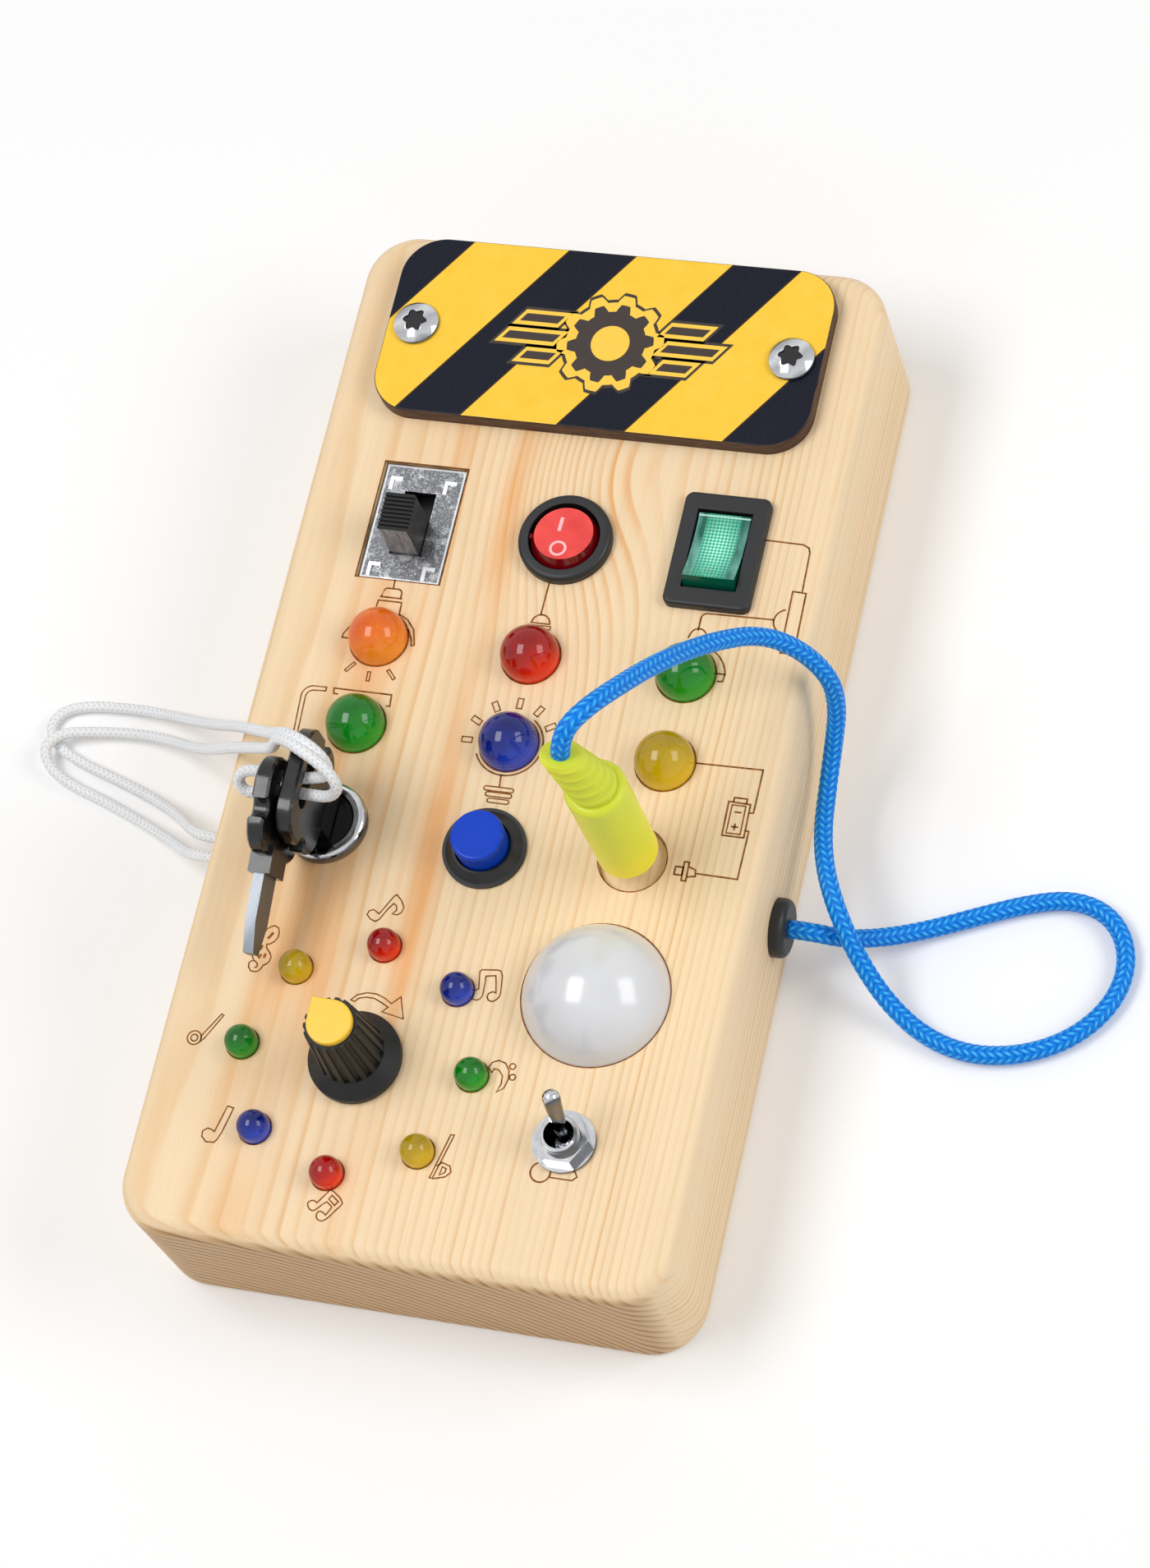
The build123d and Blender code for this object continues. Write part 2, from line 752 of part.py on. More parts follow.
# ================================================================ round rocker switch
round_plane = Plane(origin=(round_centre[0], round_centre[1], 0))
round_dip = round_lens / 2 * sin(radians(round_tilt))       # of the lens at its low edge
round_cavity_floor = round_pivot - round_dip - round_lens_drop - round_under_gap
with BuildPart() as round_rocker_body:
    with BuildSketch(round_plane.offset(round_floor)):
        Circle(round_barrel / 2)
    extrude(amount=round_barrel_depth)
    with BuildSketch(round_plane.offset(board_height)):
        Circle(round_bezel / 2)
    extrude(amount=round_bezel_height)
    rim = round_rocker_body.faces().sort_by(Axis.Z)[-1].edges()
    fillet(rim, round_bezel_round)
    with BuildSketch(round_plane.offset(round_cavity_floor)):
        Circle(round_opening / 2)
    extrude(amount=board_height + round_bezel_height - round_cavity_floor, mode=Mode.SUBTRACT)
    with BuildSketch(Plane.YZ.offset(round_centre[0])):
        with Locations((round_centre[1], round_pivot)):
            Circle(round_pin / 2 + running_gap)
    extrude(amount=round_opening / 2 + round_pin_hole, both=True, mode=Mode.SUBTRACT)
    with BuildSketch(round_plane.offset(round_floor)):
        with GridLocations(round_terminal_spacing, 0, 2, 1):
            Rectangle(terminal_thickness, terminal_width)
    extrude(amount=-terminal_length)

with BuildPart() as round_rocker_lens:
    with BuildSketch(Plane.XZ.offset(-round_centre[1])):
        with BuildLine():
            x, z = round_centre[0], round_pivot
            Polyline(
                (x, z - round_lens_drop),
                (x + round_lens / 2 - round_lens_taper, z - round_lens_drop),
                (x + round_lens / 2, z + round_lens_edge),
                (x + round_lens_top / 2, z + round_lens_rise),
                (x, z + round_lens_rise),
                close=True,
            )
        make_face()
    revolve(axis=Axis((x, round_centre[1], 0), (0, 0, 1)))
    with BuildSketch(Plane.YZ.offset(round_centre[0])):
        with Locations((round_centre[1], round_pivot)):
            Circle(round_pin / 2)
    extrude(amount=round_opening / 2 + round_pin_reach, both=True)

# The lens rests with its sign-side end pressed in
round_hinge = Axis((round_centre[0], round_centre[1], round_pivot), (1, 0, 0))
round_rocker_lens.part = round_rocker_lens.part.rotate(round_hinge, -round_tilt)


# ================================================================ rectangular rocker switch
green_plane = Plane(origin=(green_centre[0], green_centre[1], 0))
green_dip = green_lens_radius * sin(radians(green_tilt))    # of the lens at its low edge
green_cavity_floor = green_pivot - green_dip - green_lens_drop - green_under_gap
with BuildPart() as green_rocker_body:
    with BuildSketch(green_plane.offset(green_floor)):
        Rectangle(green_body_width, green_body_length)
    extrude(amount=green_body_depth)
    with BuildSketch(green_plane.offset(board_height)):
        RectangleRounded(green_bezel_width, green_bezel_length, green_bezel_corner)
    extrude(amount=green_bezel_height)
    rim = green_rocker_body.faces().sort_by(Axis.Z)[-1].edges()
    fillet(rim, green_bezel_round)
    with BuildSketch(green_plane.offset(green_cavity_floor)):
        Rectangle(green_opening_width, green_opening_length)
    extrude(amount=board_height + green_bezel_height - green_cavity_floor, mode=Mode.SUBTRACT)
    with BuildSketch(Plane.YZ.offset(green_centre[0])):
        with Locations((green_centre[1], green_pivot)):
            Circle(green_pin / 2 + running_gap)
    extrude(amount=green_opening_width / 2 + green_pin_hole, both=True, mode=Mode.SUBTRACT)
    with BuildSketch(green_plane.offset(green_floor)):
        with GridLocations(0, green_terminal_spacing, 1, 2):
            Rectangle(terminal_width, terminal_thickness)
    extrude(amount=-terminal_length)

with BuildPart() as green_rocker_lens:
    with BuildSketch(Plane.YZ.offset(green_centre[0])):
        y, z = green_centre[1], green_pivot
        with Locations((y, z)):
            Circle(green_lens_radius)
        with Locations((y, z - green_lens_drop - green_lens_radius)):
            Rectangle(4 * green_lens_radius, 2 * green_lens_radius, mode=Mode.SUBTRACT)
        with BuildLine():
            ThreePointArc(
                (y - green_lens_radius, z + green_lens_rise),
                (y, z + green_lens_rise - green_lens_dip),
                (y + green_lens_radius, z + green_lens_rise),
            )
            Polyline(
                (y + green_lens_radius, z + green_lens_rise),
                (y + green_lens_radius, z + 2 * green_lens_radius),
                (y - green_lens_radius, z + 2 * green_lens_radius),
                (y - green_lens_radius, z + green_lens_rise),
            )
        make_face(mode=Mode.SUBTRACT)
    extrude(amount=green_lens_width / 2, both=True)
    with BuildSketch(Plane.YZ.offset(green_centre[0])):
        with Locations((green_centre[1], green_pivot)):
            Circle(green_pin / 2)
    extrude(amount=green_opening_width / 2 + green_pin_reach, both=True)

green_hinge = Axis((green_centre[0], green_centre[1], green_pivot), (1, 0, 0))
green_rocker_lens.part = green_rocker_lens.part.rotate(green_hinge, -green_tilt)


# ================================================================ lamps
def lamp(place, centre_height, diameter, stem, flange, flange_height, leg, leg_length, turn=0):
    """A domed lamp: flange, stem, half-round top, and two legs below."""
    seat = centre_height - stem
    base = seat - flange_height
    with BuildPart() as bulb:
        with BuildSketch(Plane.XZ):
            with BuildLine():
                Polyline(
                    (0, base), (flange / 2, base), (flange / 2, seat), (diameter / 2, seat),
                    (diameter / 2, centre_height),
                )
                CenterArc((0, centre_height), diameter / 2, 0, 90)
                Line((0, centre_height + diameter / 2), (0, base))
            make_face()
        revolve(axis=Axis.Z)
        with BuildSketch(Plane.XY.offset(base)):
            with GridLocations(small_leg_spacing, 0, 2, 1):
                Rectangle(leg, leg)
        extrude(amount=-leg_length)
    return bulb.part.rotate(Axis.Z, turn).moved(Location((place[0], place[1], 0)))


lamp_names = (
    "led_orange", "led_red", "led_green_right",
    "led_green_left", "led_blue", "led_yellow",
)
lamps = {
    name: lamp(
        place, lamp_centre_height, lamp_diameter, lamp_stem,
        lamp_flange, lamp_flange_height, lamp_leg, lamp_leg_length,
    )
    for name, place in zip(lamp_names, lamp_places)
}


# ================================================================ ring of small lamps
small_leg_length = ring_board_thickness + small_leg_proud
ring_angles = {
    "ring_leds_red": (90, -90),
    "ring_leds_yellow": (135, -45),
    "ring_leds_green": (180, 0),
    "ring_leds_blue": (45, -135),
}
ring_lamps = {}
for name, angles in ring_angles.items():
    with BuildPart() as pair:
        for angle in angles:
            spot = (
                ring_centre[0] + ring_radius * cos(radians(angle)),
                ring_centre[1] + ring_radius * sin(radians(angle)),
            )
            add(
                lamp(
                    spot, small_lamp_centre_height, small_lamp_diameter, small_lamp_stem,
                    small_lamp_flange, small_lamp_flange_height, small_lamp_leg,
                    small_leg_length, angle + 90,
                )
            )
    ring_lamps[name] = pair.part

ring_plane = Plane(origin=(ring_centre[0], ring_centre[1], 0))
with BuildPart() as ring_board:
    with BuildSketch(ring_plane.offset(ring_board_bottom)):
        Circle(ring_board_radius)
        Circle(rotary_neck / 2 + fit_gap, mode=Mode.SUBTRACT)
        with PolarLocations(ring_radius, 8):
            with GridLocations(0, small_leg_spacing, 1, 2):
                Circle(ring_board_hole / 2, mode=Mode.SUBTRACT)
    extrude(amount=ring_board_thickness)


# ================================================================ rotary switch and knob
with BuildPart() as rotary_switch_body:
    with BuildSketch(ring_plane.offset(rotary_bottom)):
        Circle(rotary_body / 2)
    extrude(amount=rotary_body_height)
    with BuildSketch(ring_plane.offset(ring_board_bottom)):
        Circle(rotary_neck / 2)
    extrude(amount=board_height - rotary_neck_recess - ring_board_bottom)
    with BuildSketch(ring_plane.offset(rotary_bottom + rotary_shaft_floor)):
        Circle(rotary_shaft_diameter / 2 + running_gap)
    extrude(amount=board_height, mode=Mode.SUBTRACT)
    with BuildSketch(ring_plane.offset(rotary_bottom)):
        with PolarLocations(rotary_pin_circle / 2, rotary_pin_count):
            Rectangle(*rotary_pin)
    extrude(amount=-rotary_pin_length)

shaft_foot = rotary_bottom + rotary_shaft_floor + slide_end_gap
with BuildPart() as rotary_shaft:
    with BuildSketch(ring_plane.offset(shaft_foot)):
        Circle(rotary_shaft_diameter / 2)
    extrude(amount=knob_base + knob_bore_depth - slide_end_gap - shaft_foot)

with BuildPart() as knob:
    with BuildSketch(Plane.XZ.offset(-ring_centre[1])):
        with BuildLine():
            x, z = ring_centre[0], knob_base
            Polyline(
                (x, z),
                (x + knob_skirt / 2, z),
                (x + knob_skirt / 2, z + knob_rim),
                (x + knob_shoulder / 2, z + knob_shoulder_height),
                (x, z + knob_shoulder_height),
                close=True,
            )
        make_face()
    revolve(axis=Axis((x, ring_centre[1], 0), (0, 0, 1)))
    for height, size in (
        (knob_base + knob_shoulder_height, knob_shoulder),
        (knob_crown, knob_top),
    ):
        with BuildSketch(ring_plane.offset(height)):
            Circle(size / 2)
            with PolarLocations(size / 2, knob_flutes):
                Circle(knob_flute_radius * size / knob_shoulder, mode=Mode.SUBTRACT)
    loft()
    with BuildSketch(ring_plane.offset(knob_base)):
        Circle(rotary_shaft_diameter / 2 + running_gap / 2)
    extrude(amount=knob_bore_depth, mode=Mode.SUBTRACT)

with BuildPart() as knob_cap:
    with BuildSketch(ring_plane.offset(knob_crown)):
        Circle(knob_cap_diameter / 2)
        with BuildLine():
            # Both flanks of the teardrop leave the circle at a tangent
            touch = knob_cap_diameter / 2 / knob_cap_tip
            side_x = knob_cap_diameter / 2 * touch
            side_y = knob_cap_diameter / 2 * (1 - touch**2) ** 0.5
            Polyline((0, 0), (side_x, side_y), (knob_cap_tip, 0), (side_x, -side_y), close=True)
        make_face()
    extrude(amount=knob_cap_thickness)
    fillet(knob_cap.faces().sort_by(Axis.Z)[-1].edges(), knob_cap_round)
knob_cap.part = knob_cap.part.rotate(
    Axis((ring_centre[0], ring_centre[1], 0), (0, 0, 1)), knob_pointer_angle
)


# ================================================================ push button
button_plane = Plane(origin=(button_centre[0], button_centre[1], 0))
button_bore = button_cap_diameter / 2 + button_cap_gap
with BuildPart() as push_button_body:
    with BuildSketch(button_plane.offset(button_floor)):
        Circle(button_barrel / 2)
    extrude(amount=button_barrel_depth)
    with BuildSketch(button_plane.offset(board_height)):
        Circle(button_bezel / 2)
    extrude(amount=button_rim_height)
    with BuildSketch(button_plane.offset(board_height + button_rim_height)):
        Circle(button_bezel / 2 - button_bezel_step)
    extrude(amount=button_bezel_height - button_rim_height, taper=button_bezel_taper)
    with BuildSketch(button_plane.offset(button_top)):
        Circle(button_bore)
    cap_foot = button_top + button_cap_show - button_cap_length
    extrude(amount=cap_foot - button_travel - button_cap_gap - button_top, mode=Mode.SUBTRACT)
    with BuildSketch(button_plane.offset(button_floor)):
        with GridLocations(button_leg_spacing, 0, 2, 1):
            Rectangle(*button_leg)
    extrude(amount=-button_leg_length)

with BuildPart() as push_button_cap:
    with BuildSketch(button_plane.offset(cap_foot)):
        Circle(button_cap_diameter / 2)
    extrude(amount=button_cap_length)
    fillet(push_button_cap.faces().sort_by(Axis.Z)[-1].edges(), button_cap_round)

with BuildPart() as push_button_nut:
    with BuildSketch(button_plane.offset(button_ceiling)):
        RegularPolygon(hex_radius(button_nut_flats), 6)
        Circle(button_barrel / 2 + running_gap, mode=Mode.SUBTRACT)
    extrude(amount=-nut_thickness)


# ================================================================ jack socket and plug
plug_plane = Plane(origin=(plug_centre[0], plug_centre[1], 0))
pin_tip = sleeve_bottom - plug_pin_length
with BuildPart() as plug_socket:
    with BuildSketch(plug_plane.offset(socket_floor)):
        Rectangle(socket_width, socket_length)
    extrude(amount=socket_height)
    with BuildSketch(plug_plane.offset(socket_ceiling)):
        Circle(socket_neck / 2)
    extrude(amount=plug_panel)
    with BuildSketch(plug_plane.offset(plug_floor)):
        Circle(plug_pin_diameter / 2 + running_gap)
    extrude(amount=pin_tip - plug_pin_gap - plug_floor, mode=Mode.SUBTRACT)

with BuildPart() as plug_pin:
    with BuildSketch(Plane.XZ.offset(-plug_centre[1])):
        with BuildLine():
            x, r = plug_centre[0], plug_pin_diameter / 2
            Polyline(
                (x, sleeve_bottom),
                (x + r, sleeve_bottom),
                (x + r, pin_tip + plug_pin_cone),
                (x + r * plug_pin_neck[0], pin_tip + plug_pin_neck[1]),
                (x + r * plug_pin_bulb[0], pin_tip + plug_pin_bulb[1]),
                (x + r * plug_pin_point, pin_tip),
                (x, pin_tip),
                close=True,
            )
        make_face()
    revolve(axis=Axis((x, plug_centre[1], 0), (0, 0, 1)))

with BuildPart() as plug_body:
    with BuildSketch(plug_plane.offset(sleeve_bottom)):
        Circle(plug_sleeve / 2)
    extrude(amount=plug_sleeve_length)
    fillet(plug_body.faces().sort_by(Axis.Z)[-1].edges(), plug_sleeve_round)
    chamfer(plug_body.faces().sort_by(Axis.Z)[0].edges(), plug_foot_chamfer)

tail_root = Vector(plug_centre[0], plug_centre[1], sleeve_top)
tail_line = Vector(
    sin(radians(tail_lean)) * cos(radians(tail_heading)),
    sin(radians(tail_lean)) * sin(radians(tail_heading)),
    cos(radians(tail_lean)),
)
tail_mouth = tail_root + tail_line * tail_length
tail_normal = Vector(*tail_mouth_normal).normalized()


def tail_plane(part_way):
    """Cross-section of the tail, turning from level at its root to its mouth's plane."""
    normal = Vector(0, 0, 1) * (1 - part_way) + tail_normal * part_way
    return Plane(
        origin=tail_root + tail_line * tail_length * part_way,
        x_dir=(1, 0, -normal.X / normal.Z),
        z_dir=normal,
    )


tail_sections = [(0, 0)]
for k in range(tail_ribs):
    rib = (k + tail_first_rib) / tail_ribs
    tail_sections += [
        (rib - tail_rib_share, 0), (rib - tail_rib_share / 2, tail_rib_proud),
        (rib + tail_rib_share / 2, tail_rib_proud), (rib + tail_rib_share, 0),
    ]
tail_sections.append((1, 0))

with BuildPart() as plug_strain_relief:
    for part_way, proud in tail_sections:
        with BuildSketch(tail_plane(part_way)):
            Circle((tail_base + (tail_tip - tail_base) * part_way) / 2 + proud)
    loft(ruled=True)


# ================================================================ night light dome
dome_plane = Plane(origin=(dome_centre[0], dome_centre[1], 0))
dome_foot = board_height - dome_spigot_depth
with BuildPart() as dome_lens:
    with BuildSketch(Plane.XZ.offset(-dome_centre[1])):
        with BuildLine():
            x, z = dome_centre[0], board_height
            Polyline(
                (x, z + dome_height),
                (x, dome_foot),
                (x + dome_spigot / 2, dome_foot),
                (x + dome_spigot / 2, z),
                (x + dome_diameter / 2, z),
            )
            ThreePointArc(*cap_points(x, z, dome_diameter / 2, dome_height))
        make_face()
    revolve(axis=Axis((x, dome_centre[1], 0), (0, 0, 1)))
    with BuildSketch(dome_plane.offset(dome_foot)):
        Circle(dome_cavity / 2)
    extrude(amount=dome_cavity_height, mode=Mode.SUBTRACT)

with BuildPart() as dome_board:
    with BuildSketch(dome_plane.offset(dome_foot)):
        Circle(dome_spigot / 2)
    extrude(amount=-dome_board_thickness)
    with BuildSketch(dome_plane.offset(dome_foot)):
        Rectangle(dome_chip, dome_chip)
    extrude(amount=dome_chip_height)


# ================================================================ toggle switch
toggle_plane = Plane(origin=(toggle_centre[0], toggle_centre[1], 0))
bushing_top = board_height + toggle_bushing_show
with BuildPart() as toggle_body:
    with BuildSketch(toggle_plane.offset(toggle_ceiling)):
        Rectangle(toggle_body_width, toggle_body_length)
    extrude(amount=-toggle_body_height)
    with BuildSketch(toggle_plane.offset(toggle_ceiling)):
        Circle(toggle_bushing / 2)
    extrude(amount=bushing_top - toggle_ceiling)
    ball_bore = toggle_ball / 2 + fit_gap
    with BuildSketch(Plane.XZ.offset(-toggle_centre[1])):
        with BuildLine():
            x = toggle_centre[0]
            floor = toggle_pivot - toggle_tail_length - toggle_tail_gap
            Polyline(
                (x, floor),
                (x + ball_bore, floor),
                (x + ball_bore, toggle_pivot + toggle_bore_step),
                (x + toggle_bore_top / 2, bushing_top),
                (x, bushing_top),
                close=True,
            )
        make_face()
    revolve(axis=Axis((x, toggle_centre[1], 0), (0, 0, 1)), mode=Mode.SUBTRACT)
    with BuildSketch(toggle_plane.offset(toggle_ceiling - toggle_body_height)):
        with GridLocations(0, toggle_leg_spacing, 1, 3):
            Rectangle(*toggle_leg)
    extrude(amount=-toggle_leg_length)

with BuildPart() as toggle_washer_ring:
    with BuildSketch(toggle_plane.offset(board_height)):
        Circle(toggle_washer / 2)
        Circle(toggle_bushing / 2 + running_gap, mode=Mode.SUBTRACT)
    extrude(amount=toggle_washer_thickness)

nut_seat = board_height + toggle_washer_thickness
with BuildPart() as toggle_nut:
    with BuildSketch(toggle_plane.offset(nut_seat)):
        RegularPolygon(hex_radius(toggle_nut_flats), 6)
        Circle(toggle_bushing / 2 + running_gap, mode=Mode.SUBTRACT)
    extrude(amount=toggle_nut_thickness)

with BuildPart() as toggle_lever:
    with BuildSketch(Plane.XZ.offset(-toggle_centre[1])):
        with BuildLine():
            x, z = toggle_centre[0], toggle_pivot
            root, tip = toggle_lever_root / 2, toggle_lever_tip / 2
            Polyline(
                (x, z + toggle_lever_length),
                (x, z - toggle_tail_length),
                (x + toggle_tail_radius, z - toggle_tail_length),
                (x + root, z),
                (x + root, z + toggle_neck_height),
                (x + tip, z + toggle_lever_length - tip),
            )
            ThreePointArc(
                (x + tip, z + toggle_lever_length - tip),
                (x + tip * cos(radians(45)), z + toggle_lever_length - tip + tip * sin(radians(45))),
                (x, z + toggle_lever_length),
            )
        make_face()
    revolve(axis=Axis((x, toggle_centre[1], 0), (0, 0, 1)))
    with Locations((toggle_centre[0], toggle_centre[1], toggle_pivot)):
        Sphere(toggle_ball / 2)

toggle_hinge = Axis((toggle_centre[0], toggle_centre[1], toggle_pivot), (1, 0, 0))
toggle_lever.part = toggle_lever.part.rotate(toggle_hinge, -toggle_lean)


# ================================================================ key lock
lock_plane = Plane(origin=(lock_centre[0], lock_centre[1], 0))
with BuildPart() as lock_body:
    with BuildSketch(lock_plane.offset(lock_floor_height)):
        Circle(lock_barrel / 2)
    extrude(amount=lock_barrel_depth)
    with BuildSketch(lock_plane.offset(board_height)):
        Circle(lock_ring / 2)
    extrude(amount=lock_ring_height)
    fillet(lock_body.faces().sort_by(Axis.Z)[-1].edges(), lock_ring_round)
    with BuildSketch(lock_plane.offset(lock_floor_height + lock_floor)):
        Circle(lock_ring_opening / 2)
    extrude(amount=board_height, mode=Mode.SUBTRACT)

with BuildPart() as lock_nut:
    with BuildSketch(lock_plane.offset(lock_ceiling)):
        RegularPolygon(hex_radius(lock_nut_flats), 6)
        Circle(lock_barrel / 2 + running_gap, mode=Mode.SUBTRACT)
    extrude(amount=-nut_thickness)

with BuildPart() as lock_rotor:
    rotor_foot = lock_floor_height + lock_floor + slide_end_gap
    with BuildSketch(lock_plane.offset(rotor_foot)):
        Circle(rotor_radius)
    extrude(amount=rotor_top - rotor_foot)
    chamfer(lock_rotor.faces().sort_by(Axis.Z)[-1].edges(), rotor_chamfer)
    with BuildSketch(lock_plane.offset(rotor_top)):
        Rectangle(keyway_width, blade_root + 2 * pocket_gap)
    extrude(amount=-keyway_depth, mode=Mode.SUBTRACT)


# ================================================================ keys
def key_head_on(plane):
    """Moulded key head: waisted bow on a thicker collar, with an eye for the cord."""
    with BuildPart() as head:
        with BuildSketch(plane):
            with Locations((0, key_neck_height + key_head_height / 2)):
                RectangleRounded(key_head_width, key_head_height, key_head_round)
            with Locations((0, key_neck_height)):
                Rectangle(key_neck_width, 2 * key_neck_height)
            eye_middle = key_neck_height + key_head_height - key_eye_edge - key_eye_height / 2
            with Locations((0, eye_middle)):
                SlotOverall(key_eye_width, key_eye_height, mode=Mode.SUBTRACT)
            waist = key_neck_height + key_waist_height
            with Locations((key_head_width / 2, waist), (-key_head_width / 2, waist)):
                Circle(key_waist_notch, mode=Mode.SUBTRACT)
        extrude(amount=key_head_thickness / 2, both=True)
        flat = head.faces().filter_by(Axis(plane.origin, plane.z_dir)).sort_by(
            Axis(plane.origin, plane.z_dir)
        )
        chamfer(flat[0].outer_wire().edges() + flat[-1].outer_wire().edges(), key_head_chamfer)
        with BuildSketch(plane):
            with Locations((0, key_collar_height / 2)):
                Rectangle(key_neck_width, key_collar_height)
        extrude(amount=key_collar_thickness / 2, both=True)
    return head


def key_blade_on(plane):
    """Flat steel blade, straight from the shoulder and tapered to its tip."""
    with BuildPart() as blade:
        with BuildSketch(plane):
            with BuildLine():
                Polyline(
                    (-blade_root / 2, 0),
                    (blade_root / 2, 0),
                    (blade_root / 2, -(blade_length - blade_taper)),
                    (blade_tip / 2, -blade_length),
                    (-blade_tip / 2, -blade_length),
                    (-blade_root / 2, -(blade_length - blade_taper)),
                    close=True,
                )
            make_face()
        extrude(amount=blade_thickness / 2, both=True)
    return blade


key_plane = Plane(
    origin=(lock_centre[0], lock_centre[1], key_shoulder), x_dir=(0, 1, 0), z_dir=(1, 0, 0)
)
spare_plane = Plane(
    origin=(lock_centre[0] - spare_offset, spare_root[0], board_height + spare_root[1]),
    x_dir=(0, sin(radians(spare_dip)), -cos(radians(spare_dip))),
    z_dir=(1, 0, 0),
)
key_head = key_head_on(key_plane)
key_blade = key_blade_on(key_plane)
spare_key_head = key_head_on(spare_plane)
spare_key_blade = key_blade_on(spare_plane)


# ================================================================ cord outlets
def cord_outlet_on(side, place):
    """Flanged bush pressed into the side wall; the cord leaves through its face."""
    wall = Plane(origin=(side * board_width / 2, place[0], place[1]), z_dir=(side, 0, 0))
    with BuildPart() as outlet:
        with BuildSketch(wall):
            Circle(outlet_flange / 2)
        extrude(amount=outlet_flange_height)
        fillet(outlet.faces().sort_by(Axis(wall.origin, wall.z_dir))[-1].edges(), outlet_round)
        with BuildSketch(wall):
            Circle(outlet_shank / 2)
        extrude(amount=-(outlet_shank_length - pocket_gap))
    return outlet


cord_outlet_right = cord_outlet_on(1, right_outlet)
cord_outlet_left = cord_outlet_on(-1, left_outlet)


# ================================================================ cords
def cord_along(route, diameter, name):
    """Round cord along straight runs joined by arcs as large as the runs allow."""
    points = [Vector(*point) for point in route]
    runs = [b - a for a, b in zip(points, points[1:])]
    radii = [
        bend_share * min(a.length, b.length) / tan(radians(a.get_angle(b) / 2))
        for a, b in zip(runs, runs[1:])
    ]
    print(name, "corner radii:", ", ".join(f"{radius:.1f}" for radius in radii))
    with BuildPart() as cord:
        with BuildLine() as path:
            FilletPolyline(*points, radius=radii)
        with BuildSketch(Plane(origin=points[0], z_dir=runs[0])):
            Circle(diameter / 2)
        sweep()
    length = path.wire().length
    expected = length * pi * diameter**2 / 4
    print(f"{name}: length {length:.1f}, volume {cord.part.volume / expected:.4f} of section x length")
    return cord


outlet_face = board_width / 2 + outlet_flange_height
blue_route = [
    (outlet_face, right_outlet[0], right_outlet[1]),
    (53.4, -21.0, 12.0), (57.6, -20.2, 8.6), (62.8, -17.7, 4.4), (69.6, -14.4, 2.0),
    (77.6, -10.7, 1.7), (85.6, -7.3, 1.7), (92.6, -5.6, 1.8), (98.6, -7.0, 1.7),
    (102.6, -11.4, 1.8), (103.8, -17.6, 1.7), (101.8, -24.2, 1.8), (96.6, -30.0, 1.7),
    (89.2, -33.8, 1.8), (80.8, -34.9, 1.7), (73.0, -32.9, 2.0), (66.6, -29.0, 4.4),
    (61.6, -24.2, 9.4), (57.8, -18.8, 14.6), (54.4, -12.2, 16.0), (52.0, -4.6, 14.6),
    (51.0, 3.6, 13.6), (51.2, 10.6, 16.8), (52.2, 14.6, 23.4), (51.8, 16.6, 30.8),
    (47.6, 18.0, 37.4), (42.2, 17.2, 43.4), (36.8, 11.0, 52.0), (32.2, 2.2, 62.0),
    (28.8, -6.6, 70.2), (26.0, -12.6, 74.4),
    tuple(tail_mouth + tail_normal * 4.8),
    tuple(tail_mouth),
]
blue_cord = cord_along(blue_route, blue_diameter, "blue cord")

white_route_a = [
    (-outlet_face, left_outlet[0] + white_spacing / 2, left_outlet[1]),
    (-54.2, -18.2, 12.0), (-58.6, -16.4, 9.3), (-63.5, -12.2, 5.0), (-70.5, -8.4, 1.7),
    (-79.0, -5.4, 1.2), (-86.0, -3.2, 1.1), (-90.8, -0.8, 1.1), (-93.4, 2.6, 1.2),
    (-91.4, 6.2, 1.1), (-86.6, 7.6, 1.2), (-79.0, 7.9, 1.3), (-71.4, 6.9, 3.0),
    (-64.4, 4.4, 8.0), (-57.4, 1.0, 15.8), (-51.0, -2.6, 25.0), (-45.4, -5.8, 33.2),
    (-38.6, -9.0, 40.2),
]
white_route_b = [
    (-outlet_face, left_outlet[0] - white_spacing / 2, left_outlet[1]),
    (-54.0, -21.8, 12.0), (-58.5, -20.4, 8.8), (-64.0, -16.8, 4.4), (-71.5, -13.0, 1.5),
    (-79.4, -9.9, 1.1), (-86.0, -7.9, 1.4), (-90.4, -5.8, 2.2), (-92.4, -2.4, 3.5),
    (-90.0, 0.8, 3.5), (-85.2, 2.2, 2.3), (-77.6, 3.2, 1.5), (-70.2, 2.2, 3.4),
    (-63.2, -0.8, 8.6), (-57.0, -4.0, 16.4), (-51.4, -7.2, 25.2), (-47.0, -9.4, 32.0),
    (-42.6, -10.9, 36.6), (-38.0, -12.2, 40.6),
]
# Over both key heads, down, through both eyes, and back beside itself
white_route_bight = [
    (-38.6, -9.0, 40.2), (-35.2, -10.6, 43.7), (-32.6, -12.2, 48.4), (-29.6, -13.6, 52.2),
    (-25.6, -15.2, 53.2), (-22.2, -17.0, 51.4), (-22.0, -18.4, 47.8), (-25.4, -18.8, 46.8),
    (-29.8, -19.4, 47.0), (-34.0, -18.8, 47.3), (-37.2, -18.9, 46.8), (-38.4, -20.2, 45.0),
    (-37.0, -21.4, 43.4), (-34.0, -21.0, 43.8), (-29.8, -20.7, 44.5), (-25.6, -21.2, 45.7),
    (-21.4, -21.6, 46.4), (-19.2, -20.8, 49.6), (-21.6, -18.8, 52.6), (-26.0, -16.8, 54.0),
    (-30.2, -14.6, 52.2), (-32.6, -13.4, 47.8), (-34.55, -13.175, 43.6), (-38.0, -12.2, 40.6),
]
white_cord_a = cord_along(white_route_a, white_diameter, "white cord a")
white_cord_b = cord_along(white_route_b, white_diameter, "white cord b")
white_cord_bight = cord_along(white_route_bight, white_diameter, "white cord bight")


